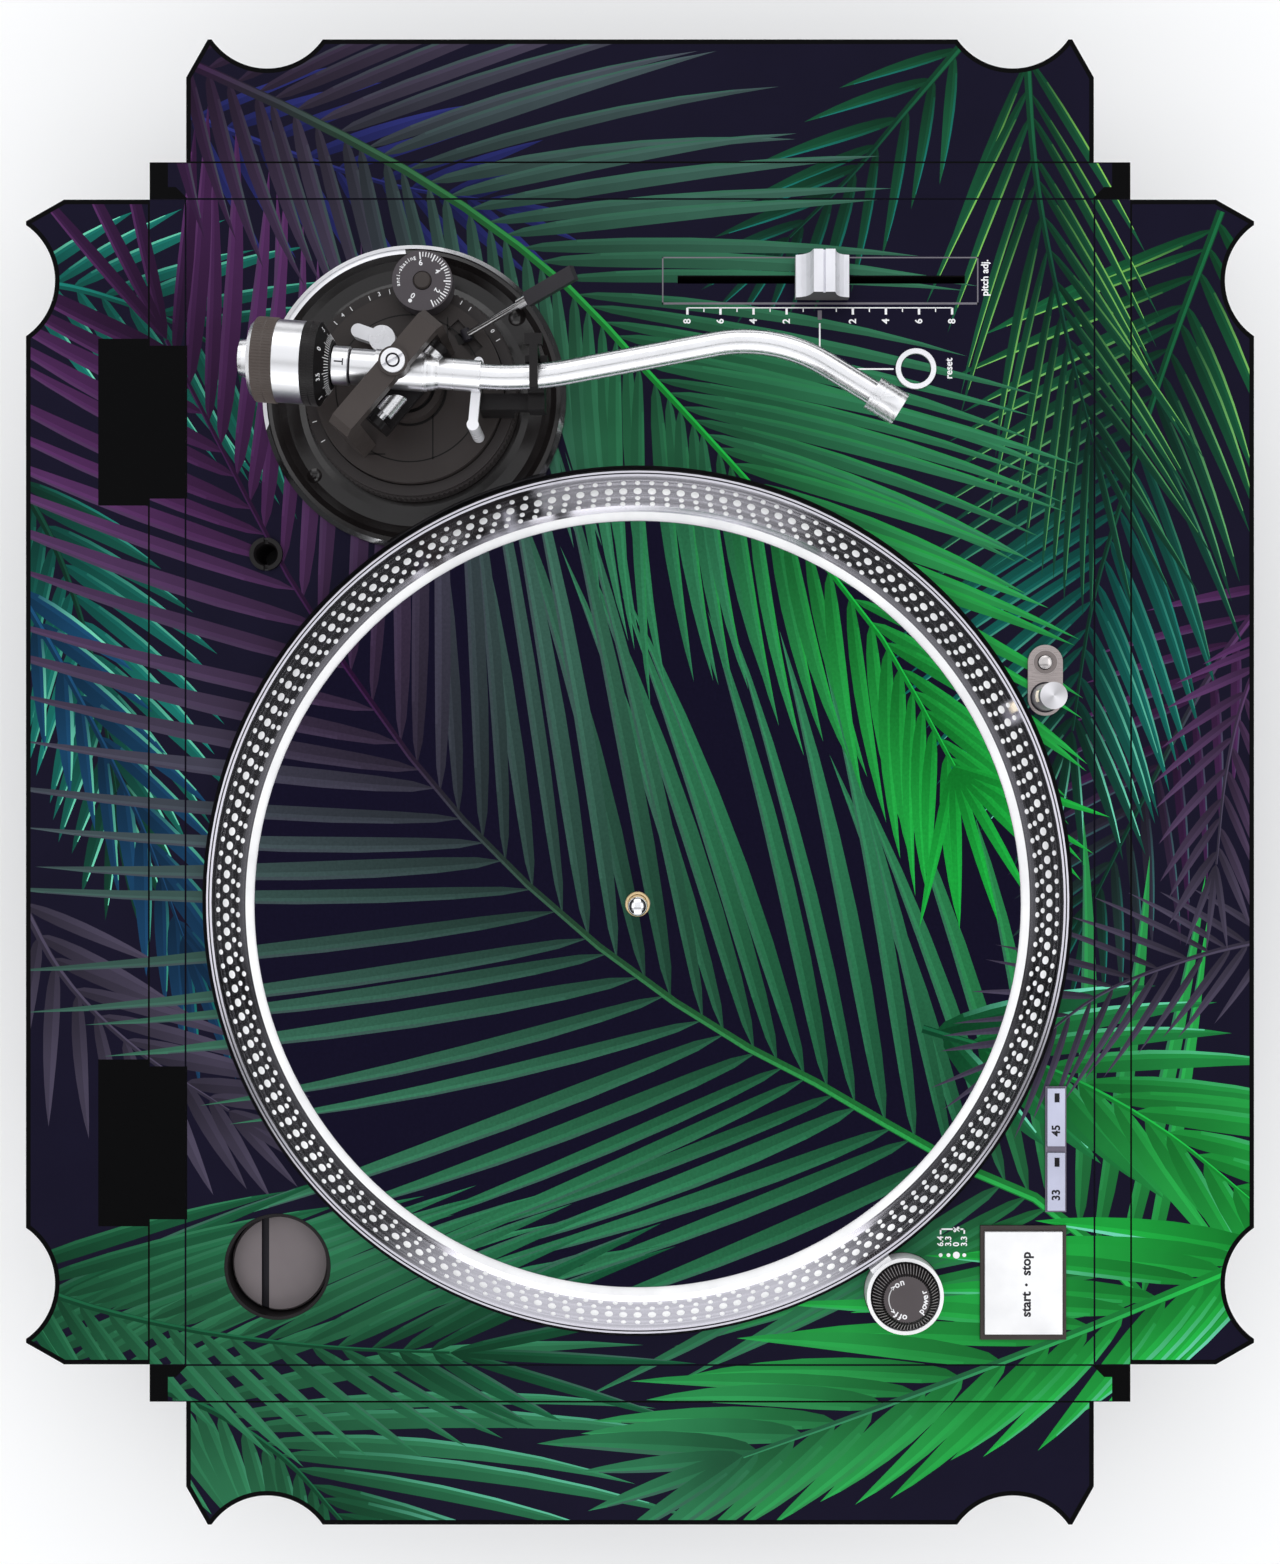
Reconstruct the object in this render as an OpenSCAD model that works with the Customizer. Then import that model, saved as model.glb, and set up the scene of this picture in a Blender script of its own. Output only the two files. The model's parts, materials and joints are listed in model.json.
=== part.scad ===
// Direct-drive DJ turntable in a printed vinyl skin whose four side flaps lie unfolded.
// Origin: on the table, under the middle of the deck. +X is the tonearm side, -Y the front, +Z up.

/* [Deck] */
// Width of the deck, left to right
deck_w = 453; // [440:1:470]
// Depth of the deck, front to back
deck_d = 353; // [345:1:365]
// Height of the deck's top face above the table
deck_z = 95; // [90:1:105]
// Height of the cabinet's side walls
side_h = 62; // [58:1:66]
// Thickness of the cast side walls
wall = 5; // [4:0.5:6]
// Thickness of the cast top plate
top_t = 6; // [5:0.5:7]
// Thickness of the vinyl skin
skin_t = 0.5; // [0.3:0.1:0.6]
// Radius of the half-round reliefs over the feet
arch_r = 26.3; // [24:0.1:28]

/* [Platter] */
// Left-right place of the spindle
platter_x = -46.2; // [-50:0.1:-40]
// Front-back place of the spindle
platter_y = 0.9; // [-5:0.1:5]
// Outer radius of the platter
platter_r = 166; // [164:0.5:167]
// Height of the platter's top ring above the deck
platter_h = 18.5; // [17:0.5:20]
// Radius of the felt slipmat
mat_r = 144.9; // [143:0.1:145]
// Thickness of the felt slipmat
mat_t = 2; // [1.5:0.1:2.5]
// Radius of the centre spindle
spindle_r = 3.57; // [3.5:0.01:3.6]

/* [Tonearm] */
// Left-right place of the tonearm's pivot
pivot_x = 149.3; // [145:0.1:153]
// Front-back place of the tonearm's pivot
pivot_y = 87.5; // [84:0.1:90]
// Height of the arm's axis above the deck
arm_h = 48; // [46:1:50]
// Angle of the arm from straight ahead when it rests on its clip
arm_angle = -4.4; // [-6:0.1:-3]
// Outer radius of the arm tube
tube_r = 4.5; // [4:0.1:5]
// Angle of the bearing bridge over the pivot
bridge_angle = -40.4; // [-43:0.1:-38]
// Radius of the counterweight
weight_r = 15; // [14:0.1:16]
// Radius of the height-adjusting ring
ring_r = 41; // [40:0.1:42]

/* [Controls] */
// Left-right place of the pitch slider's slot
fader_x = 195.4; // [194:0.1:197]
// Front-back place of the pitch slider's zero
fader_y = -70.5; // [-72:0.1:-68]
// Length of the pitch slider's slot
fader_len = 111.6; // [108:0.1:114]
// Radius of the start-light power knob
power_r = 13.2; // [12.5:0.1:13.6]
// Height of the target lamp above the deck when it is up
lamp_h = 16; // [15:0.5:18]

/* [Feet] */
// Distance of each foot from the deck's middle, left-right
foot_x = 195; // [190:1:198]
// Distance of each foot from the deck's middle, front-back
foot_y = 145; // [140:1:148]
// Radius of a foot
foot_r = 25; // [22:0.5:26]

/* [Hidden] */
$fn = 64;
eps = 0.01;

half_w = deck_w / 2;
half_d = deck_d / 2;
skirt_z = deck_z - side_h;
skin_top_z = deck_z + skin_t;
fold_gap = 0.3;                     // between a flap and the wall it folds on to
band_w = 14.2;                      // the flap's first band, up to its crease
arch_drop = 15;                     // an arch's centre lies this far outside the edge
arch_chord = 21.6;                  // half the arch's width at the edge

well_r = platter_r + 3.3;           // the round recess that the platter turns in
well_floor = deck_z - 7;
motor_hole_r = 56;
mat_z = deck_z + platter_h - 1;     // the platter face under the slipmat
shaft_in_hub = 4.2;                 // radius of the spindle's thicker part, below the platter's face

turret_r = ring_r - 5.2;            // the block that slides up inside the ring
turret_h = 18;                      // its top face above the deck
guide_r = turret_r + 0.06;          // the collar that it slides in
pedestal_r = 13.4;
pedestal_h = 26;
base_plate_r = 57;
arm_z = deck_z + arm_h;
hinge_back = 6.1;                   // the lift bearings' axis is this far ahead of the bridge
trunnion_left = 15.3;               // the arm's bearing cross-bar, to the left and right of the pivot
trunnion_right = 14;
frame_left = 20.5;                  // the swinging bearing frame, likewise
frame_right = 17;
bridge_z = arm_z + 8.5;
bridge_w = 8.6;
bridge_left = -31;
bridge_right = 21.5;
leg_left = 6.5;
leg_right = 3.3;

bend1_y = -30.3;                    // where the arm's first bend starts, from the pivot
bend1_r = 120;
bend1_a = 15;
run2 = 54;                          // the straight run between the bends
bend2_r = 58;
bend2_a = 42;
run3 = 21.1;                        // the straight run up to the headshell collar
collar_len = 9.8;
socket_r = 4.05;                    // takes a standard 8 mm headshell plug

weight_front = 23.8;                // the force dial's front face, behind the pivot
dial_len = 9.4;
cone_len = 4.4;                     // the dial's sloping face, which carries its scale
weight_back = weight_front + 29;
stub_len = 4.4;
antiskate_at = [38.4, -6];          // the anti-skating dial, from the pivot
lock_at = [16.3, 8.8];              // the arm's height lock, from the pivot
cue_post = [-18.5, -26.3];          // the cueing plunger, from the pivot
cue_end = [4.5, -28.5];             // the free end of the lifter bar, from the pivot
clip_y = -49.5;                     // the resting cradle, ahead of the pivot
clip_pin = [4.6, -13];              // the clip's hinge pin, from the resting tube's axis

lamp_x = 32.9;
lamp_button_x = 46.5;
lamp_y = -157.4;
lamp_r = 5.2;
key_y = -161.6;
key_33_x = -155.2;
key_45_x = -130.2;
start_x = -194.5;
start_y = -148.9;
power_x = -198.0;
power_y = -102.1;
housing_r = 14.8;
reset_x = 160.6;
reset_y = -107.2;
holder_x = 88.6;
holder_y = 145.3;
adaptor_x = -188.5;
adaptor_y = 141.0;
adaptor_r = 18.95;                  // fills a single's 38.1 mm hole
adaptor_floor = deck_z - 15;
hinge_x = 140;
hinge_w = 59.5;
gland_z = 26;
gland_back = half_d - 9;            // the rear face of the rubber base

black = [0.05, 0.05, 0.055];
dark_grey = [0.2, 0.19, 0.19];
silver = [0.78, 0.78, 0.8];
steel = [0.62, 0.6, 0.6];
night_blue = [0.08, 0.07, 0.15];
palm_green = [0.12, 0.45, 0.22];

// ---- shared shapes ----

module at_pivot() translate([pivot_x, pivot_y, 0]) children();

module along_arm() at_pivot() translate([0, 0, arm_z]) rotate([0, 0, arm_angle]) children();

module along_bridge() at_pivot() rotate([0, 0, bridge_angle]) children();

module at_platter() translate([platter_x, platter_y, 0]) children();

// A box given by its middle in X and Y and its lowest and highest Z.
module block(x, y, w, d, z0, z1) {
    translate([x - w / 2, y - d / 2, z0]) cube([w, d, z1 - z0]);
}

module disc(r, z0, z1) translate([0, 0, z0]) cylinder(r = r, h = z1 - z0);

module tube(r_out, r_in, z0, z1) {
    difference() {
        disc(r_out, z0, z1);
        disc(r_in, z0 - 1, z1 + 1);
    }
}

// A cylinder lying along Y from y0 to y1.
module rod_y(r, y0, y1, r_end = undef) {
    end = is_undef(r_end) ? r : r_end;
    translate([0, y0, 0]) rotate([-90, 0, 0]) cylinder(r1 = r, r2 = end, h = y1 - y0);
}

// A cylinder lying along X from x0 to x1.
module rod_x(r, x0, x1) translate([x0, 0, 0]) rotate([0, 90, 0]) cylinder(r = r, h = x1 - x0);

// ---- cabinet and what it holds ----

module foot_arches() {
    for (sx = [-1, 1], sy = [-1, 1]) {
        translate([sx * foot_x, sy * half_d, skirt_z - arch_drop])
            rod_y(arch_r, -wall - 2, wall + 2);
        translate([sx * half_w, sy * foot_y, skirt_z - arch_drop])
            rod_x(arch_r, -wall - 2, wall + 2);
    }
}

module top_cabinet() {
    color(dark_grey) difference() {
        union() {
            difference() {
                block(0, 0, deck_w, deck_d, skirt_z, deck_z);
                block(0, 0, deck_w - 2 * wall, deck_d - 2 * wall, skirt_z - 1, deck_z - top_t);
            }
            at_platter() disc(well_r + 4, well_floor - 5, deck_z - eps);
        }
        at_platter() disc(well_r, well_floor, deck_z + 1);
        at_platter() disc(motor_hole_r, well_floor - 10, deck_z);
        at_pivot() disc(ring_r + 2.3, well_floor - 10, deck_z + 1);
        block(fader_x, fader_y, 8, fader_len + 6, well_floor - 10, deck_z + 1);
        block(start_x, start_y, 40.7, 31, well_floor - 10, deck_z + 1);
        block(key_33_x, key_y, 23, 7.4, well_floor - 10, deck_z + 1);
        block(key_45_x, key_y, 23, 7.4, well_floor - 10, deck_z + 1);
        translate([lamp_x, lamp_y, 0]) disc(lamp_r + 0.6, well_floor - 10, deck_z + 1);
        translate([lamp_button_x, lamp_y, 0]) disc(3, well_floor - 10, deck_z + 1);
        translate([reset_x, reset_y, 0]) disc(6.5, well_floor - 10, deck_z + 1);
        translate([holder_x, holder_y, 0]) disc(5.7, well_floor - 10, deck_z + 1);
        translate([adaptor_x, adaptor_y, 0]) disc(adaptor_r + 1.5, well_floor - 10, deck_z + 1);
        translate([power_x, power_y, 0]) disc(5.2, well_floor - 10, deck_z + 1);
        for (s = [-1, 1])
            block(s * hinge_x, half_d, hinge_w + 0.4, 2 * wall + 2, deck_z - 34.4, deck_z - top_t);
        foot_arches();
    }
}

module foot_places() {
    for (sx = [-1, 1], sy = [-1, 1]) translate([sx * foot_x, sy * foot_y, 0]) children();
}

module screw_places() {
    for (x = [-140, 0, 140], y = [-150, 150]) translate([x, y, 0]) children();
    for (x = [-205, 205], y = [-60, 60]) translate([x, y, 0]) children();
}

module gland_places() {
    for (x = [-60, -84]) translate([x, gland_back, gland_z]) children();
}

module rubber_base() {
    color(black) difference() {
        union() {
            block(0, 0, deck_w - 18, deck_d - 18, 21, 31);
            block(0, 0, deck_w - 2 * wall - 1, deck_d - 2 * wall - 1, 31, 41);
        }
        foot_places() disc(5.05, 18, 36);
        foot_places() disc(foot_r + 1, 18, 27);
        screw_places() disc(2.1, 18, 45);
        screw_places() disc(4.5, 18, 25);
        gland_places() rod_y(4, -9, 1);
        gland_places() translate([0, -6, 0]) disc(3.5, 0, 20);
        foot_arches();
    }
}

module base_screws() {
    color(steel) screw_places() difference() {
        union() {
            disc(4, 22.3, 25);
            disc(2, 25 - eps, 44);
        }
        block(0, 0, 1, 5, 22, 23.3);
        block(0, 0, 5, 1, 22, 23.3);
    }
}

module motor_stator() {
    coils = 12;
    color(steel) at_platter() {
        difference() {
            union() {
                disc(66, 58, 61);
                disc(18, 61 - eps, 66);
                for (i = [0:coils - 1]) rotate([0, 0, i * 360 / coils])
                    translate([38, 0, 0]) disc(6.5, 61 - eps, 74);
                for (i = [0:2]) rotate([0, 0, i * 120 + 15])
                    translate([62, 0, 0]) disc(3.6, 61 - eps, well_floor - 5);
            }
            disc(9.05, 50, 70);
            for (i = [0:coils - 1]) rotate([0, 0, i * 360 / coils])
                translate([38, 0, 0]) disc(2, 66, 75);
        }
    }
}

module spindle_bearing() {
    color([0.72, 0.56, 0.28]) at_platter() difference() {
        union() {
            disc(9, 54, 82);
            disc(14, 54, 57.9);
        }
        disc(shaft_in_hub + 0.05, 58, 83);
    }
}

module circuit_board() {
    color([0.1, 0.35, 0.2]) {
        block(-120, -122, 150, 70, 44, 45.6);
        block(-170, -110, 22, 14, 45.6 - eps, 58);
        block(-90, -136, 30, 8, 45.6 - eps, 52);
        for (x = [-140:18:-86]) translate([x, -104, 0]) disc(5, 45.6 - eps, 60);
    }
    for (x = [-190, -50], y = [-150, -94])
        color(black) translate([x, y, 0]) disc(3, 41, 44 + eps);
}

// Small board under the keys, with one push switch below each of them.
module switch_board() {
    board_z = deck_z - 21;
    color([0.1, 0.35, 0.2]) block(-167, -151, 98, 30, board_z, board_z + 1.6);
    color(black) {
        block(start_x, start_y, 12, 12, board_z + 1.6 - eps, deck_z - 15.8);
        for (x = [key_33_x, key_45_x]) block(x, key_y, 6, 6, board_z + 1.6 - eps, deck_z - 11.8);
        translate([-172, -142, 0]) disc(2.6, board_z + 1.6 - eps, deck_z - top_t);
        translate([-122, -142, 0]) disc(2.6, board_z + 1.6 - eps, well_floor - 5);
    }
}

module power_transformer() {
    color(steel) block(-165, 95, 62, 50, 41, 76);
    color([0.6, 0.33, 0.15]) block(-165, 95, 40, 62, 46, 71);
}

// Two pockets in the back wall that take a dust cover's hinge tongues.
module hinge_sockets() {
    for (s = [-1, 1]) color(black) difference() {
        block(s * hinge_x, half_d - 7, hinge_w, 14, deck_z - 34.2, deck_z - top_t - 0.2);
        block(s * hinge_x, half_d - 7, 30, 8, deck_z - 30, deck_z + 1);
        block(s * hinge_x, half_d, 30, 12, deck_z - 16, deck_z + 1);
    }
}

module cable_glands() {
    color(black) gland_places() difference() {
        union() {
            rod_y(4, -8, eps);
            rod_y(4.8, 0, 2.6, 4.4);
        }
        rod_y(2.4, -10, 4);
    }
}

// ---- printed skin ----

module skin_top() {
    color(night_blue) difference() {
        block(0, 0, deck_w, deck_d, deck_z, skin_top_z);
        at_platter() disc(well_r, deck_z - 1, deck_z + 3);
        at_pivot() disc(base_plate_r + 1.9, deck_z - 1, deck_z + 3);
        block(fader_x, fader_y, 3.2, fader_len + 0.2, deck_z - 1, deck_z + 3);
        block(start_x, start_y, 44.5, 33.5, deck_z - 1, deck_z + 3);
        block((key_33_x + key_45_x) / 2, key_y, 49, 8.3, deck_z - 1, deck_z + 3);
        translate([lamp_x, lamp_y, 0]) disc(lamp_r + 0.6, deck_z - 1, deck_z + 3);
        translate([lamp_button_x, lamp_y, 0]) disc(3, deck_z - 1, deck_z + 3);
        translate([reset_x, reset_y, 0]) disc(8, deck_z - 1, deck_z + 3);
        translate([holder_x, holder_y, 0]) disc(6.5, deck_z - 1, deck_z + 3);
        translate([adaptor_x, adaptor_y, 0]) disc(adaptor_r + 1.75, deck_z - 1, deck_z + 3);
        translate([power_x, power_y, 0]) disc(housing_r + 0.3, deck_z - 1, deck_z + 3);
    }
}

// One side flap in its own frame: it leaves the fold along +X and is len wide along Y.
module flap_sheet(len, arch_at, tabs) {
    out = side_h;
    cut_x = 14.8;
    cut_y = 8.4;
    half = len / 2;
    difference() {
        linear_extrude(skin_t) polygon([
            [0, -half], [out - cut_x, -half], [out, cut_y - half],
            [out, half - cut_y], [out - cut_x, half], [0, half],
        ]);
        for (s = [-1, 1]) translate([out + arch_drop, s * arch_at, 0]) disc(arch_r, -1, 2);
    }
    if (tabs) for (s = [-1, 1])
        translate([0, s * (half + band_w / 2 - 0.05) - band_w / 2, 0])
            cube([band_w, band_w + 0.1, skin_t]);
}

module flap_right() {
    color(palm_green) translate([half_w + fold_gap, 0, deck_z])
        flap_sheet(deck_d, foot_y, true);
}

module flap_left() {
    color(palm_green) translate([-half_w - fold_gap, 0, deck_z]) rotate([0, 0, 180])
        flap_sheet(deck_d, foot_y, true);
}

module flap_front() {
    color(palm_green) translate([0, -half_d - fold_gap, deck_z]) rotate([0, 0, -90])
        flap_sheet(deck_w, foot_x, false);
}

module flap_back() {
    color(palm_green) translate([0, half_d + fold_gap, deck_z]) rotate([0, 0, 90])
        flap_sheet(deck_w, foot_x, false);
}

// ---- platter ----

module platter() {
    top = deck_z + platter_h;
    ledge = deck_z + 8.2;
    color(silver) at_platter() rotate_extrude($fn = 180) polygon([
        [shaft_in_hub + 0.03, 92], [14, 92], [18, mat_z - 5.5], [60, mat_z - 5.5], [145, mat_z - 5.5],
        [152, 92], [160.5, deck_z - 5], [platter_r - 0.4, deck_z - 5], [platter_r, deck_z],
        [platter_r, ledge], [platter_r - 2.1, ledge + 0.3], [151.3, top - 1.4],
        [148.6, top], [mat_r + 0.3, top], [mat_r + 0.3, mat_z], [4.8, mat_z],
        [4.8, mat_z - 1], [shaft_in_hub + 0.03, mat_z - 1],
    ]);
}

module spindle() {
    dome_z = deck_z + 33;
    color(steel) at_platter() {
        disc(shaft_in_hub, 59, mat_z - 1);
        intersection() {
            disc(spindle_r, mat_z - 2, dome_z + 3);
            translate([0, 0, dome_z - 2.9]) sphere(r = 4.5);
        }
        disc(spindle_r, mat_z - 2, dome_z - 0.2);
    }
}

module rotor_magnet() {
    color(dark_grey) at_platter() {
        difference() {
            tube(46.5, 28, 77, mat_z - 5.5);
            tube(44, 30.5, 80, 86);
        }
    }
}

module slipmat() {
    color(night_blue) at_platter() difference() {
        disc(mat_r, mat_z + 0.05, mat_z + mat_t);
        disc(4.8, mat_z - 1, mat_z + mat_t + 1);
    }
}

// ---- tonearm base ----

module cut_by_platter() {
    difference() {
        children();
        at_platter() disc(well_r + 0.5, deck_z - 20, deck_z + 60);
    }
}

module tonearm_base_plate() {
    color(dark_grey) cut_by_platter() difference() {
        at_pivot() rotate_extrude() polygon([
            [guide_r, deck_z - 12], [ring_r + 2, deck_z - 12], [ring_r + 2, deck_z],
            [base_plate_r, deck_z], [base_plate_r, deck_z + 3.6],
            [base_plate_r - 1.8, deck_z + 4], [base_plate_r - 4, deck_z + 2.6],
            [base_plate_r - 7, deck_z + 1.6], [ring_r + 4, deck_z + 1.4],
            [ring_r + 1.5, deck_z + 2.2], [guide_r, deck_z + 2.2],
        ]);
        at_pivot() rotate([0, 0, -52]) translate([50, 0, deck_z + 4.4]) sphere(r = 4.2);
        at_pivot() rotate([0, 0, 128]) translate([49, 0, deck_z + 4.2]) sphere(r = 3.8);
    }
}

module base_trim_ring() {
    color(silver) cut_by_platter() at_pivot() rotate_extrude() polygon([
        [base_plate_r + 0.02, deck_z], [base_plate_r + 1.8, deck_z],
        [base_plate_r + 1.8, deck_z + 2.8], [base_plate_r + 0.02, deck_z + 4.2],
    ]);
}

module height_ring() {
    ribs = 120;
    color(black) at_pivot() difference() {
        union() {
            tube(ring_r - 0.9, turret_r + 0.4, deck_z + 2.9, deck_z + 14);
            tube(ring_r, turret_r + 1, deck_z + 4, deck_z + 11.5);
        }
        for (i = [0:ribs - 1]) rotate([0, 0, i * 360 / ribs])
            translate([ring_r + 0.35, 0, 0]) disc(0.75, deck_z + 5, deck_z + 12.5, $fn = 16);
    }
}

module arm_lift_base() {
    color(dark_grey) at_pivot() difference() {
        union() {
            disc(turret_r, deck_z - 14, deck_z + turret_h);
            disc(pedestal_r, deck_z + turret_h - eps, deck_z + pedestal_h);
            translate(antiskate_at) disc(9, deck_z + turret_h - 3, deck_z + turret_h);
        }
        disc(3.05, deck_z + 8, deck_z + 40);
        tube(11, 9.5, deck_z + pedestal_h - 1.5, deck_z + pedestal_h + 1);
        tube(32, 26, deck_z - 20, deck_z + 10);
        translate(cue_post) disc(2.25, deck_z + 12, deck_z + 40);
        rotate([0, 0, -48]) translate([28.5, 0, deck_z + turret_h - 1.5])
            block(0, 0, 5.5, 14, 0, 4);
        translate(lock_at) disc(1.8, deck_z + 12, deck_z + 40);
        translate(antiskate_at) disc(2.05, deck_z + turret_h - 4, deck_z + 40);
    }
}

// Bracket that carries the arm's resting cradle, ahead of the turret.
module armrest_post() {
    pin_z = arm_z + clip_pin[1];
    color(black) at_pivot() difference() {
        union() {
            block(-8.4, -34, 6, 12, deck_z + turret_h, deck_z + 34);
            block(-8.4, -43, 6, 18, deck_z + 29, deck_z + 34);
            block(-5, clip_y, 15, 6, deck_z + 29, arm_z - tube_r - 4);
            block(-2.6, clip_y, 9, 6, deck_z + 36, arm_z - tube_r - 0.2);
            block(3.3, clip_y, 2.6, 6, pin_z - 3, pin_z + 3);
            translate([clip_pin[0], clip_y, pin_z]) rod_y(3.2, -3, 3);
        }
        translate([clip_pin[0], clip_y, pin_z]) rod_y(1.55, -10, 10);
    }
}

// The hook over the resting tube. It opens away from the platter.
module armrest_clip() {
    pin_x = clip_pin[0];
    pin_z = clip_pin[1];
    cheek_y = 3.6;
    bar_z = 8.8;
    color(black) at_pivot() translate([0, clip_y, arm_z]) {
        translate([pin_x, 0, pin_z]) rod_y(1.5, -4.2, 4.2);
        for (s = [-1, 1]) translate([pin_x, cheek_y * s, pin_z]) rod_y(3, -0.5, 0.5);
        for (s = [-1, 1]) block(pin_x, cheek_y * s, 2.4, 1, pin_z, pin_z + 5);
        block(pin_x + 1.2, 0, 2.4, 8.2, pin_z + 4, pin_z + 6);
        block(pin_x + 1.2, 0, 2.4, 3, pin_z + 6 - eps, bar_z + 2.2);
        block(-1.4, 0, 14.1, 3, bar_z, bar_z + 2.2);
        block(-7.7, 0, 1.5, 3, tube_r + 0.25, bar_z + 0.6);
        block(pin_x + 4.2, 0, 4, 6.4, bar_z, bar_z + 2.2);
    }
}

module bearing_bridge() {
    foot_z = deck_z + turret_h;
    top = bridge_z + 5.5;
    color(dark_grey) along_bridge() {
        difference() {
            union() {
                translate([bridge_left, -bridge_w / 2, bridge_z])
                    cube([bridge_right - bridge_left, bridge_w, 5.5]);
                disc(5.3, bridge_z, top + 1);
                translate([bridge_left, -bridge_w / 2, foot_z])
                    cube([leg_left, bridge_w, bridge_z - foot_z + eps]);
                translate([bridge_right - leg_right, -bridge_w / 2, foot_z])
                    cube([leg_right, bridge_w, bridge_z - foot_z + eps]);
            }
            disc(4.35, bridge_z + 2, top + 2);
            for (x = [bridge_left, bridge_right])
                translate([x, 0, top]) rotate([0, 45, 0]) cube([4, 12, 4], center = true);
        }
    }
}

module pivot_screw() {
    top = bridge_z + 7.5;
    color(silver) along_bridge() difference() {
        disc(4.3, bridge_z + 2, top);
        rotate([0, 0, -20]) block(0, 0, 9, 1.1, top - 1, top + 1);
        tube(2.6, 1.9, top - 0.5, top + 1);
    }
}

module lock_lever() {
    color(silver) at_pivot() translate(lock_at) {
        disc(1.75, deck_z + 12.2, deck_z + turret_h + 1);
        disc(4.9, deck_z + turret_h + 0.2, deck_z + 29);
        rotate([0, 0, 71]) translate([0, -2.6, deck_z + 23]) cube([9.6, 5.2, 5]);
        rotate([0, 0, 71]) translate([9.6, 0, 0]) disc(2.6, deck_z + 23, deck_z + 28);
    }
}

module antiskate_dial() {
    color(black) at_pivot() translate(antiskate_at) difference() {
        union() {
            disc(11.3, deck_z + turret_h + 0.3, deck_z + 27);
            disc(2, deck_z + turret_h - 3, deck_z + turret_h + 1);
        }
        disc(3.6, deck_z + 26, deck_z + 30);
    }
}

module cue_lever() {
    slope = -31;
    color(steel) at_cue_pin() {
        rotate([0, 0, 90]) rod_x(1.8, -2.2, 2.2);
        rotate([0, slope, 0]) rod_x(1.25, 0, 27);
        rotate([0, slope, 0]) rod_x(2.1, 26, 30);
    }
    color(dark_grey) at_cue_pin() rotate([0, slope, 0]) translate([30 - eps, -2.7, -1.5])
        cube([22, 5.4, 3]);
}

// The cueing lever's pin, with +X along the lever.
module at_cue_pin() {
    translate([169, 65.6, deck_z + turret_h + 2.2]) rotate([0, 0, -69]) children();
}

// Lifter bar that raises the arm when the cue lever is pulled up.
module cue_rail() {
    rail_top = arm_h - 5.75;
    color(silver) at_pivot() {
        translate(cue_post) disc(2.2, deck_z + 14.5, deck_z + rail_top);
        hull() for (p = [cue_post, cue_end])
            translate(p) disc(1.7, deck_z + rail_top - 2.2, deck_z + rail_top);
    }
}

// ---- moving arm ----

module gimbal_frame() {
    low = -14;
    color(black) along_bridge() translate([0, 0, arm_z]) difference() {
        union() {
            block((frame_right - frame_left) / 2, -4, frame_left + frame_right, 10.6, low, low + 3);
            disc(6, deck_z + pedestal_h + 0.5 - arm_z, low + eps);
            disc(3, deck_z + 9 - arm_z, low + eps);
            for (x = [-frame_left, frame_right - 2.8]) {
                block(x + 1.4, -hinge_back, 2.8, 6.4, low, 0);
                translate([0, -hinge_back, 0]) rod_x(3.2, x, x + 2.8);
            }
        }
        translate([0, -hinge_back, 0]) rod_x(1.55, 1.1 - frame_left, frame_right - 1.1);
    }
}

module arm_housing() {
    color(silver) {
        along_arm() difference() {
            union() {
                rod_y(5.6, -30, -15);
                rod_y(5.6, -15 - eps, -10, 7);
                rod_y(7, -10 - eps, 8);
            }
            rod_y(3.2, -31, 9);
        }
        along_bridge() translate([0, -hinge_back, arm_z]) difference() {
            union() {
                rod_x(3.3, -trunnion_left, trunnion_right);
                rod_x(1.5, 1.5 - frame_left, frame_right - 1.5);
            }
            rotate([0, 0, arm_angle - bridge_angle]) rod_y(6.9, -12, 20);
        }
    }
}

// The S-shaped tube: straight runs joined by two true arcs.
module arm_tube() {
    color(silver) along_arm() difference() {
        union() {
            rod_y(tube_r, bend1_y, -30);
            translate([0, bend1_y, 0]) {
                bend_out(tube_r);
                after_bend1() {
                    rod_y(tube_r, -run2, 0);
                    translate([0, -run2, 0]) {
                        bend_in(tube_r);
                        after_bend2() rod_y(tube_r, -run3, 0);
                    }
                }
            }
        }
        translate([0, bend1_y, 0]) after_bend1() translate([0, -run2, 0]) after_bend2()
            rod_y(3.3, -run3 - 1, -run3 + 8);
    }
}

// Bends start at the origin heading along -Y.
module bend_out(r) {
    translate([bend1_r, 0, 0]) rotate([0, 0, 180]) rotate_extrude(angle = bend1_a, $fn = 96)
        translate([bend1_r, 0]) circle(r = r);
}

module bend_in(r) {
    translate([-bend2_r, 0, 0]) rotate([0, 0, -bend2_a])
        rotate_extrude(angle = bend2_a, $fn = 96) translate([bend2_r, 0]) circle(r = r);
}

module after_bend1() {
    translate([bend1_r * (1 - cos(bend1_a)), -bend1_r * sin(bend1_a), 0])
        rotate([0, 0, bend1_a]) children();
}

module after_bend2() {
    translate([-bend2_r * (1 - cos(bend2_a)), -bend2_r * sin(bend2_a), 0])
        rotate([0, 0, -bend2_a]) children();
}

module at_arm_end() {
    along_arm() translate([0, bend1_y, 0]) after_bend1() translate([0, -run2, 0])
        after_bend2() translate([0, -run3, 0]) children();
}

module headshell_collar() {
    color(silver) at_arm_end() difference() {
        union() {
            rod_y(5.9, -2 - eps, 1.9);
            for (y = [-1.4, -0.2, 1]) rod_y(6.3, y, y + 0.9);
            rod_y(6.2, -collar_len, -2);
        }
        rod_y(tube_r + 0.05, -1, 5);
        rod_y(socket_r, -collar_len - 1, -1 + eps);
    }
}

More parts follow.
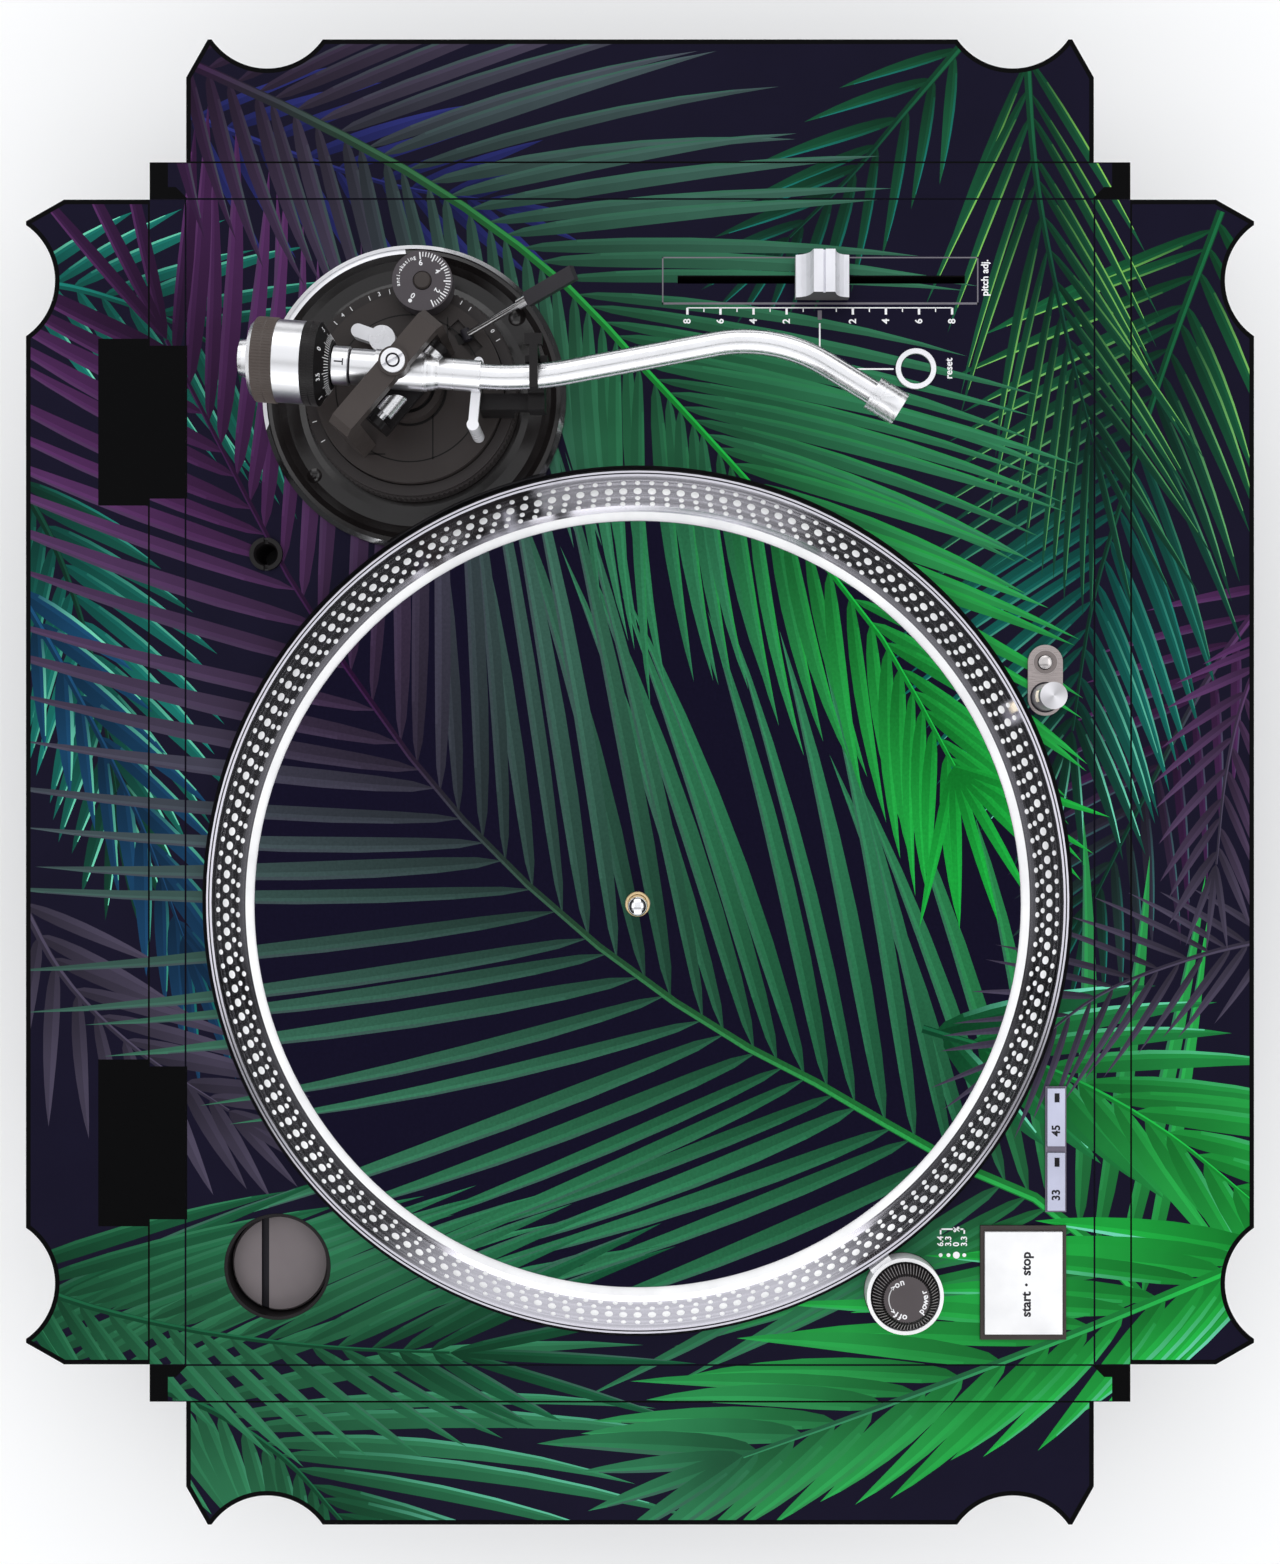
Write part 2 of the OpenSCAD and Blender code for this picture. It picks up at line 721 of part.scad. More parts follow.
module rear_shaft() {
    color(silver) along_arm() {
        rod_y(6.5, 8, 16.8);
        rod_y(6, 16.8 - eps, 17.8);
        rod_y(7, 17.8 - eps, weight_front - 0.4);
        rod_y(3.4, weight_front - 0.4 - eps, weight_back + 3);
    }
}

module weight_bush() {
    color(steel) along_arm() difference() {
        rod_y(5.2, weight_front + 2, weight_back + stub_len);
        rod_y(3.45, 0, 100);
    }
}

module counterweight() {
    front = weight_front + dial_len + 0.3;
    knurl = weight_back - 9.4;
    color(silver) along_arm() difference() {
        union() {
            rod_y(11, weight_front + cone_len + 0.3, front + eps);
            rod_y(weight_r - 0.2, front, knurl + eps);
            rod_y(weight_r, knurl, weight_back - 1.7);
            rod_y(weight_r - 0.3, weight_back - 1.7 - eps, weight_back, weight_r - 2);
            rod_y(7.2, weight_back - eps, weight_back + stub_len, 6.6);
        }
        rod_y(5.25, 0, 100);
    }
}

module force_dial() {
    color(black) along_arm() difference() {
        union() {
            rod_y(weight_r, weight_front + cone_len, weight_front + dial_len);
            rod_y(8.6, weight_front, weight_front + cone_len + eps, weight_r - 0.3);
        }
        rod_y(11.3, weight_front + cone_len, weight_front + dial_len + 1);
        rod_y(7.4, weight_front - 2, weight_front + cone_len + 1);
    }
}

// ---- controls on the deck ----

module start_stop_frame() {
    color(dark_grey) difference() {
        block(start_x, start_y, 44.3, 33.3, deck_z, deck_z + 1.3);
        block(start_x, start_y, 40.4, 30.7, deck_z - 1, deck_z + 3);
    }
}

module start_stop_key() {
    color([0.93, 0.93, 0.95]) {
        block(start_x, start_y, 39.7, 30, deck_z - 4, deck_z + 2.2);
        block(start_x, start_y, 34, 24, deck_z - 14, deck_z - 4 + eps);
    }
}

module speed_key_frame() {
    color([0.45, 0.44, 0.5]) difference() {
        block((key_33_x + key_45_x) / 2, key_y, 48.8, 8.1, deck_z, deck_z + 1.1);
        block(key_33_x, key_y, 22.8, 7.2, deck_z - 1, deck_z + 3);
        block(key_45_x, key_y, 22.8, 7.2, deck_z - 1, deck_z + 3);
    }
}

module speed_key(x) {
    color([0.72, 0.72, 0.82]) difference() {
        block(x, key_y, 22.4, 6.8, deck_z - 10, deck_z + 1.9);
        block(x + 7.6, key_y - 0.3, 3.6, 2, deck_z + 1.4, deck_z + 3);
    }
}

module key_33() speed_key(key_33_x);

module key_45() speed_key(key_45_x);

module fader_track() {
    color(dark_grey) difference() {
        union() {
            block(fader_x, fader_y, 20, fader_len + 14, deck_z - 28, deck_z - top_t - 0.1);
            block(fader_x, fader_y, 7.8, fader_len + 5.8, deck_z - top_t - 0.2, deck_z);
        }
        block(fader_x, fader_y, 2.9, fader_len, deck_z - 10, deck_z + 1);
        block(fader_x, fader_y, 12, fader_len + 4, deck_z - 24, deck_z - 12);
        block(fader_x, fader_y, 2.9, fader_len, deck_z - 14, deck_z - 8);
    }
}

module pitch_knob() {
    base_z = skin_top_z + 0.8;
    color(silver) difference() {
        union() {
            block(fader_x, fader_y, 2.2, 5, deck_z - 15, base_z + eps);
            translate([fader_x - 8.2, fader_y, base_z]) rotate([90, 0, 90])
                linear_extrude(16.4) polygon([
                    [-10.3, 0], [10.3, 0], [10.3, 4], [8.2, 4.5], [6.4, 5.7], [5.1, 7.8], [4.1, 12],
                    [-4.1, 12], [-5.1, 7.8], [-6.4, 5.7], [-8.2, 4.5], [-10.3, 4],
                ]);
        }
        block(fader_x, fader_y, 20, 0.9, base_z + 10.8, base_z + 13);
    }
    color(dark_grey) block(fader_x, fader_y, 10, 7, deck_z - 20, deck_z - 15 + eps);
}

module reset_ring() {
    color(silver) translate([reset_x, reset_y, 0]) tube(7.85, 5.9, deck_z, deck_z + 1.5);
}

module reset_button() {
    color(palm_green) translate([reset_x, reset_y, 0]) {
        disc(5.7, deck_z - 4, skin_top_z + 0.4);
        disc(3, deck_z - 12, deck_z - 4 + eps);
    }
}

module lamp_plate() {
    color(steel) difference() {
        union() {
            for (x = [lamp_x - 0.4, lamp_button_x])
                translate([x, lamp_y, 0]) disc(6.75, skin_top_z, skin_top_z + 1.3);
            block((lamp_x - 0.4 + lamp_button_x) / 2, lamp_y, lamp_button_x - lamp_x + 0.4, 13.5,
                skin_top_z, skin_top_z + 1.3);
            translate([lamp_x, lamp_y, 0]) disc(lamp_r + 0.56, deck_z - 24, skin_top_z + eps);
        }
        translate([lamp_x, lamp_y, 0]) disc(lamp_r + 0.06, deck_z - 30, deck_z + 4);
        translate([lamp_button_x, lamp_y, 0]) disc(2.9, deck_z, deck_z + 4);
        translate([lamp_button_x, lamp_y, skin_top_z + 0.5])
            cylinder(r1 = 2.9, r2 = 5.1, h = 0.9);
    }
}

module lamp_head() {
    color(silver) translate([lamp_x, lamp_y, 0]) difference() {
        disc(lamp_r, deck_z - 16, deck_z + lamp_h);
        translate([0, lamp_r, deck_z + lamp_h - 6]) cube([4.4, 6, 5], center = true);
    }
}

module lamp_button() {
    color(silver) translate([lamp_button_x, lamp_y, 0]) intersection() {
        disc(2.6, deck_z - 10, deck_z + 3);
        translate([0, 0, deck_z - 4.2]) sphere(r = 6.4);
    }
}

module strobe_housing() {
    color([0.9, 0.9, 0.92]) translate([power_x, power_y, 0]) difference() {
        union() {
            disc(housing_r, deck_z, deck_z + 8);
            rotate([0, 0, 38]) block(housing_r - 0.6, 0, 3.6, 9, skin_top_z, deck_z + 7);
        }
        disc(power_r + 0.2, deck_z + 2, deck_z + 10);
        disc(3.08, deck_z - 1, deck_z + 4);
        rotate([0, 0, 38]) block(housing_r + 1, 0, 1.6, 6, deck_z + 2.5, deck_z + 5.5);
    }
}

module power_knob() {
    teeth = 60;
    shoulder_z = deck_z + 8;
    crown_r = 9.7;
    crown_h = 4;
    lean = atan((power_r - 0.3 - crown_r) / crown_h);
    color(dark_grey) translate([power_x, power_y, 0]) difference() {
        union() {
            translate([0, 0, deck_z + 2.6])
                cylinder(r1 = power_r - 0.1, r2 = power_r - 0.3, h = 5.4);
            translate([0, 0, shoulder_z - eps])
                cylinder(r1 = power_r - 0.3, r2 = crown_r, h = crown_h);
            disc(3, deck_z - 8, deck_z + 4);
        }
        for (i = [0:teeth - 1]) rotate([0, 0, i * 360 / teeth])
            translate([power_r + 0.1, 0, shoulder_z - 1])
                rotate([0, -lean, 0]) cylinder(r = 0.48, h = 8, $fn = 16);
    }
}

module headshell_holder() {
    color(black) translate([holder_x, holder_y, 0]) difference() {
        union() {
            disc(5.6, deck_z - 22, deck_z + 1);
            disc(6.4, deck_z, deck_z + 1.8);
        }
        disc(4.1, deck_z - 19, deck_z + 3);
        translate([0, 0, deck_z + 0.3]) cylinder(r1 = 4.1, r2 = 4.8, h = 1.6);
        for (a = [0, 180]) rotate([0, 0, a]) block(5, 0, 3.4, 1.7, deck_z - 0.2, deck_z + 3);
    }
}

module adaptor_well() {
    color(black) translate([adaptor_x, adaptor_y, 0]) difference() {
        union() {
            disc(adaptor_r + 1.35, adaptor_floor - 1.5, deck_z + 0.2);
            disc(adaptor_r + 1.65, deck_z, deck_z + 0.6);
        }
        disc(adaptor_r + 0.5, adaptor_floor, deck_z + 3);
    }
}

// The record adaptor that fills a single's large hole, resting in its well.
module adaptor_45() {
    color(black) translate([adaptor_x, adaptor_y, adaptor_floor]) difference() {
        union() {
            disc(adaptor_r, 0.05, 8.6);
            translate([0, 0, 8.6 - eps]) cylinder(r1 = adaptor_r, r2 = adaptor_r - 0.9, h = 1.4);
        }
        disc(3.7, -1, 7);
        block(0, 5.8, 2 * adaptor_r + 2, 2.9, 7.3, 11);
    }
}

// ---- feet ----

module foot() {
    color(black) difference() {
        union() {
            disc(foot_r - 3, 0, 3);
            translate([0, 0, 3 - eps]) cylinder(r1 = foot_r - 3, r2 = foot_r, h = 3);
            disc(foot_r, 6 - eps, 18);
            disc(foot_r - 5, 18 - eps, 26.5);
        }
        tube(foot_r - 6, 12, -1, 2);
    }
    color(steel) disc(5, 26.5 - eps, 35);
}

module foot_front_right() translate([foot_x, -foot_y, 0]) foot();

module foot_front_left() translate([-foot_x, -foot_y, 0]) foot();

module foot_rear_right() translate([foot_x, foot_y, 0]) foot();

module foot_rear_left() translate([-foot_x, foot_y, 0]) foot();

top_cabinet();
rubber_base();
base_screws();
motor_stator();
spindle_bearing();
circuit_board();
switch_board();
power_transformer();
hinge_sockets();
cable_glands();
skin_top();
tonearm_base_plate();
base_trim_ring();
start_stop_frame();
speed_key_frame();
fader_track();
lamp_plate();
strobe_housing();
reset_ring();
headshell_holder();
adaptor_well();
platter();
spindle();
rotor_magnet();
slipmat();
height_ring();
arm_lift_base();
armrest_post();
armrest_clip();
bearing_bridge();
pivot_screw();
lock_lever();
antiskate_dial();
cue_lever();
cue_rail();
gimbal_frame();
arm_housing();
arm_tube();
rear_shaft();
headshell_collar();
weight_bush();
counterweight();
force_dial();
pitch_knob();
start_stop_key();
key_33();
key_45();
reset_button();
power_knob();
lamp_head();
lamp_button();
adaptor_45();
foot_front_right();
foot_front_left();
foot_rear_right();
foot_rear_left();
flap_right();
flap_left();
flap_front();
flap_back();
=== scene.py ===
"""Looks for the record player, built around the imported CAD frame. Everything is in metres."""

import json
import math
import random

import bmesh
import bpy
import numpy as np
from mathutils import Matrix, Vector, geometry


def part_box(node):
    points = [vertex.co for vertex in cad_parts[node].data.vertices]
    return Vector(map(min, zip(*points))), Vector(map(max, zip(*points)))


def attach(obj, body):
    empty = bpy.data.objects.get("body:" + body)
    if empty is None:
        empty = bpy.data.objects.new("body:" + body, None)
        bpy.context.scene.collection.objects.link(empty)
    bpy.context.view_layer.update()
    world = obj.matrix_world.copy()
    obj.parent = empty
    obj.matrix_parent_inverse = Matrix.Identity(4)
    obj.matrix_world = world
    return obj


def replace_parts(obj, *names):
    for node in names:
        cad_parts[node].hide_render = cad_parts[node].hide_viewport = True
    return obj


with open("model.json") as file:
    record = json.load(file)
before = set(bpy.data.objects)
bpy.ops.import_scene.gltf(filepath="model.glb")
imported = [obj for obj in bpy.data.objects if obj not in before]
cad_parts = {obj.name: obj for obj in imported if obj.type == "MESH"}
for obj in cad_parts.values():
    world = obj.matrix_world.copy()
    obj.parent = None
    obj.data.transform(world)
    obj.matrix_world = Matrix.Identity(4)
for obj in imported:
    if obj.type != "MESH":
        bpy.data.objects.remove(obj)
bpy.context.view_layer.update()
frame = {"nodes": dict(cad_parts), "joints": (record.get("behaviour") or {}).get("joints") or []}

MM = 0.001
INK_T = 0.03 * MM
JOINTS = {j["name"]: j for j in frame["joints"]}
SCENE = bpy.context.scene


def mm(*lengths):
    """Millimetres as a tuple of metres."""
    return tuple(length * MM for length in lengths)


def centre(node):
    lo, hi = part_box(node)
    return (lo + hi) / 2


def joint_spot(name):
    return Vector(JOINTS[name]["pos_m"])


# ---- places that the frame gives ----
SKIN_LO, SKIN_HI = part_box("skin_top")
DECK_Z = SKIN_LO.z
SKIN_Z = SKIN_HI.z
HALF_W = SKIN_HI.x
HALF_D = SKIN_HI.y
PLATTER = joint_spot("platter_spin")
PLATTER_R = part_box("platter")[1].x - PLATTER.x
MAT_LO, MAT_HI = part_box("slipmat")
MAT_R = MAT_HI.x - PLATTER.x
RIM_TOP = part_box("platter")[1].z
PIVOT = joint_spot("tonearm_swing")
ARM_Z = PIVOT.z
ARM_BACK = Vector(JOINTS["counterweight_spin"]["axis"]).normalized()
TURRET_Z = DECK_Z + 18 * MM
KNOB = Vector((*centre("power_knob").xy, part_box("power_knob")[1].z))
START = centre("start_stop_key")
FADER = centre("fader_track")
RESET = centre("reset_ring")
DIAL = joint_spot("antiskate_turn")
WEIGHT_FRONT = 23.8 * MM
CONE = 4.4 * MM
GRIP = mm(28.4, 33.1)
KNURL = mm(43.4, 51.1)

# ---- the camera: straight above the deck, with the player's right at the top of the picture ----
CAMERA_UP = 0.700
camera_data = bpy.data.cameras.new("camera")
camera_data.lens = 41.4
camera_data.sensor_width = 36
camera_data.clip_start = 0.01
camera = bpy.data.objects.new("camera", camera_data)
camera.location = (0, 0, DECK_Z + CAMERA_UP)
camera.rotation_euler = (0, 0, math.radians(-90))
SCENE.collection.objects.link(camera)
SCENE.camera = camera


# ---- colours ----
def srgb(r, g, b):
    """Linear colour of an 8-bit one."""
    def linear(v):
        v /= 255
        return v / 12.92 if v <= 0.04045 else ((v + 0.055) / 1.055) ** 2.4
    return (linear(r), linear(g), linear(b))


NIGHT = srgb(19, 16, 36)
INK = srgb(3, 3, 4)
DEEP = srgb(14, 58, 44)
FOREST = srgb(22, 84, 54)
PALM = srgb(46, 118, 80)
GREYGREEN = srgb(58, 98, 84)
BRIGHT = srgb(36, 158, 68)
VIVID = srgb(28, 168, 62)
TEAL = srgb(22, 112, 102)
MINT = srgb(112, 212, 178)
LIME = srgb(138, 206, 92)
PURPLE = srgb(84, 44, 92)
PLUM = srgb(52, 24, 60)
GREYPURPLE = srgb(66, 60, 78)
BLUE = srgb(38, 42, 104)


# ---- materials ----
def set_range(node, low, high, out_low, out_high):
    for key, number in (("From Min", low), ("From Max", high),
                        ("To Min", out_low), ("To Max", out_high)):
        node.inputs[key].default_value = number


class Nodes:
    """A principled material under construction."""

    def __init__(self, name, colour, metallic=0.0, rough=0.5, specular=0.5, coat=0.0, sheen=0.0):
        self.mat = bpy.data.materials.new(name)
        self.mat.use_nodes = True
        self.mat.diffuse_color = (*colour, 1)
        self.tree = self.mat.node_tree
        self.shader = self.tree.nodes["Principled BSDF"]
        inputs = self.shader.inputs
        inputs["Base Color"].default_value = (*colour, 1)
        inputs["Metallic"].default_value = metallic
        inputs["Roughness"].default_value = rough
        inputs["Specular IOR Level"].default_value = specular
        inputs["Coat Weight"].default_value = coat
        inputs["Coat Roughness"].default_value = 0.12
        inputs["Sheen Weight"].default_value = sheen
        self.colour = (*colour, 1)
        self.rough = rough

    def add(self, kind, **values):
        node = self.tree.nodes.new(kind)
        for key, value in values.items():
            if hasattr(node, key):
                setattr(node, key, value)
            else:
                node.inputs[key.replace("_", " ")].default_value = value
        return node

    def link(self, out, into):
        self.tree.links.new(out, into)

    def place(self):
        return self.add("ShaderNodeTexCoord").outputs["Object"]

    def noise(self, scale, detail=3.0, where=None, stretch=None):
        node = self.add("ShaderNodeTexNoise", Scale=scale, Detail=detail)
        where = where or self.place()
        if stretch:
            mapping = self.add("ShaderNodeMapping")
            mapping.inputs["Scale"].default_value = stretch
            self.link(where, mapping.inputs["Vector"])
            where = mapping.outputs["Vector"]
        self.link(where, node.inputs["Vector"])
        return node.outputs["Fac"]

    def rings(self, middle, axis, scale):
        """Noise that changes only with the distance from an axis, as a lathe's tool leaves it."""
        shift = self.add("ShaderNodeVectorMath", operation="SUBTRACT")
        self.link(self.place(), shift.inputs[0])
        shift.inputs[1].default_value = middle
        cross = self.add("ShaderNodeVectorMath", operation="CROSS_PRODUCT")
        self.link(shift.outputs[0], cross.inputs[0])
        cross.inputs[1].default_value = axis
        length = self.add("ShaderNodeVectorMath", operation="LENGTH")
        self.link(cross.outputs[0], length.inputs[0])
        node = self.add("ShaderNodeTexNoise", noise_dimensions="1D", Scale=scale, Detail=4.0)
        self.link(length.outputs["Value"], node.inputs["W"])
        return node.outputs["Fac"]

    def ramp(self, value, low, high, out_low, out_high):
        node = self.add("ShaderNodeMapRange")
        set_range(node, low, high, out_low, out_high)
        self.link(value, node.inputs["Value"])
        return node.outputs["Result"]

    def tint(self, value, dark, light):
        """The base colour varies between dark and light times itself."""
        node = self.add("ShaderNodeMix", data_type="RGBA")
        node.inputs["A"].default_value = (*[c * dark for c in self.colour[:3]], 1)
        node.inputs["B"].default_value = (*[min(1, c * light) for c in self.colour[:3]], 1)
        self.link(self.ramp(value, 0.3, 0.7, 0, 1), node.inputs["Factor"])
        self.link(node.outputs["Result"], self.shader.inputs["Base Color"])
        return self

    def roughen(self, value, spread):
        rough = self.ramp(value, 0.3, 0.7, max(0.02, self.rough - spread), min(1, self.rough + spread))
        self.link(rough, self.shader.inputs["Roughness"])
        return self

    def bump(self, value, strength, distance=0.0001):
        node = self.add("ShaderNodeBump", Strength=strength, Distance=distance)
        self.link(value, node.inputs["Height"])
        self.link(node.outputs["Normal"], self.shader.inputs["Normal"])
        return self


def moulded(name, colour, rough=0.45, grain=2600, strength=0.18, specular=0.2, coat=0.0):
    """Moulded plastic with a fine spark-eroded grain."""
    m = Nodes(name, colour, rough=rough, specular=specular, coat=coat)
    m.tint(m.noise(40, 4), 0.88, 1.1).roughen(m.noise(160, 3), 0.06)
    m.bump(m.noise(grain, 2), strength, 0.00005)
    return m.mat


def painted(name, colour, rough=0.4, metallic=0.0, specular=0.2):
    """Painted casting, with slight orange peel."""
    m = Nodes(name, colour, metallic=metallic, rough=rough, specular=specular)
    m.tint(m.noise(25, 5), 0.85, 1.14).roughen(m.noise(90, 4), 0.08)
    m.bump(m.noise(900, 3), 0.2, 0.00008)
    return m.mat


def brushed(name, colour, rough=0.3, stretch=(1, 60, 1), strength=0.25, metallic=1.0):
    m = Nodes(name, colour, metallic=metallic, rough=rough)
    grain = m.noise(220, 4, stretch=stretch)
    m.tint(grain, 0.86, 1.08).roughen(grain, 0.08).bump(grain, strength, 0.00004)
    return m.mat


def turned(name, colour, middle, axis, rough=0.25, scale=2500, strength=0.3, metallic=1.0):
    """Metal faced on a lathe: fine rings round an axis."""
    m = Nodes(name, colour, metallic=metallic, rough=rough)
    grain = m.rings(middle, axis, scale)
    m.tint(grain, 0.88, 1.06).roughen(grain, 0.07).bump(grain, strength, 0.00003)
    return m.mat


def spun(name, colour, middle, rough=0.3, metallic=0.6):
    """A small end face brushed in circles, with the sheen of such brushing painted into its colour as four
    wedges, lighter and darker by turns, round the middle.
    """
    m = Nodes(name, colour, metallic=metallic, rough=rough)
    shift = m.add("ShaderNodeVectorMath", operation="SUBTRACT")
    m.link(m.place(), shift.inputs[0])
    shift.inputs[1].default_value = middle
    wheel = m.add("ShaderNodeTexGradient", gradient_type="RADIAL")
    m.link(shift.outputs[0], wheel.inputs["Vector"])
    turns = m.add("ShaderNodeMath", operation="MULTIPLY")
    m.link(wheel.outputs["Fac"], turns.inputs[0])
    turns.inputs[1].default_value = 4 * math.pi
    wave = m.add("ShaderNodeMath", operation="SINE")
    m.link(turns.outputs[0], wave.inputs[0])
    m.tint(m.ramp(wave.outputs[0], -1, 1, 0.3, 0.7), 0.68, 1.12)
    return m.mat


def polished(name, colour, rough=0.16, metallic=1.0):
    m = Nodes(name, colour, metallic=metallic, rough=rough)
    m.tint(m.noise(70, 5), 0.94, 1.04).roughen(m.noise(500, 3), 0.05)
    m.bump(m.noise(1500, 2), 0.05, 0.00003)
    return m.mat


def rubbery(name, colour):
    m = Nodes(name, colour, rough=0.72, specular=0.35)
    m.tint(m.noise(60, 5), 0.8, 1.25).roughen(m.noise(240, 3), 0.1)
    m.bump(m.noise(1400, 3), 0.35, 0.00008)
    return m.mat


def printed(name, grain, strength, rough, specular, sheen=0.0, fibre=False):
    """A print held in the mesh's own colours, on vinyl or felt."""
    m = Nodes(name, NIGHT, rough=rough, specular=specular, sheen=sheen)
    ink = m.add("ShaderNodeAttribute", attribute_name="print")
    fade = m.add("ShaderNodeMix", data_type="RGBA", blend_type="MULTIPLY")
    fade.inputs["Factor"].default_value = 1.0
    m.link(ink.outputs["Color"], fade.inputs["A"])
    tone = m.ramp(m.noise(900 if fibre else 60, 4), 0.3, 0.7, 0.86 if fibre else 0.95, 1.06)
    m.link(tone, fade.inputs["B"])
    m.link(fade.outputs["Result"], m.shader.inputs["Base Color"])
    m.roughen(m.noise(300, 3), 0.05)
    m.bump(m.noise(grain, 3, stretch=(1, 3, 1) if fibre else None), strength, 0.00006)
    return m.mat


def lit(name, colour, strength):
    m = Nodes(name, colour, rough=0.3)
    m.tint(m.noise(300, 2), 0.9, 1.1)
    m.shader.inputs["Emission Color"].default_value = (*colour, 1)
    m.shader.inputs["Emission Strength"].default_value = strength
    return m.mat


UP = (0, 0, 1)
VINYL = printed("vinyl_print", 1500, 0.10, 0.42, 0.05)
FELT = printed("felt_print", 2200, 0.55, 0.95, 0.03, sheen=0.02, fibre=True)
BLACK_PLASTIC = moulded("black_plastic", srgb(24, 22, 23), rough=0.38)
GRAPHITE = painted("graphite_metal", srgb(66, 60, 58), rough=0.34)
DARK_CAST = painted("dark_cast", srgb(52, 47, 46), rough=0.42)
DISH = painted("dish_gloss", srgb(24, 21, 21), rough=0.2, specular=0.4)
BRIGHT_WHITE = painted("bright_white", srgb(236, 236, 240), rough=0.25, metallic=0.15)
WHITE_KEY = moulded("white_key", srgb(246, 246, 248), rough=0.35, strength=0.08)
LILAC_KEY = moulded("lilac_key", srgb(196, 198, 220), rough=0.35, strength=0.08)
KEY_FRAME = moulded("key_frame", srgb(118, 112, 128), rough=0.4)
RUBBER = rubbery("rubber", srgb(30, 29, 30))
BASE_RUBBER = rubbery("base_rubber", srgb(36, 35, 37))
CHROME = polished("chrome", (0.86, 0.86, 0.88), rough=0.09)
ALLOY = polished("arm_alloy", (0.87, 0.87, 0.89), rough=0.25)
WHITE_INK = moulded("white_ink", srgb(240, 240, 242), rough=0.5, strength=0.05)
DARK_INK = moulded("dark_ink", srgb(34, 32, 38), rough=0.5, strength=0.05)
CASE = painted("case_paint", srgb(58, 57, 60), rough=0.46, metallic=0.25)
STEEL = brushed("steel", (0.52, 0.5, 0.5), rough=0.35)
COPPER = brushed("copper", (0.7, 0.36, 0.18), rough=0.35, stretch=(1, 1, 40))
BRASS = turned("brass", srgb(196, 156, 84), PLATTER, UP, rough=0.28)
BOARD = moulded("board", srgb(28, 96, 56), rough=0.4)
DARK_GLASS = moulded("dark_glass", srgb(28, 26, 30), rough=0.12, strength=0.02)
LAMP_GLOW = lit("lamp_glow", srgb(255, 244, 214), 1.2)


def dress(node, material):
    """Gives a CAD node's object one material."""
    obj = frame["nodes"][node]
    obj.data.materials.clear()
    obj.data.materials.append(material)


def two_tone(node, material, inside):
    """One more material, on the CAD node's faces whose middles pass the test."""
    obj = frame["nodes"][node]
    obj.data.materials.append(material)
    for face in obj.data.polygons:
        if inside(obj.matrix_world @ face.center):
            face.material_index = len(obj.data.materials) - 1


def along_arm_turned(name, colour, rough):
    return turned(name, colour, (PIVOT.x, PIVOT.y, ARM_Z), tuple(ARM_BACK), rough=rough)


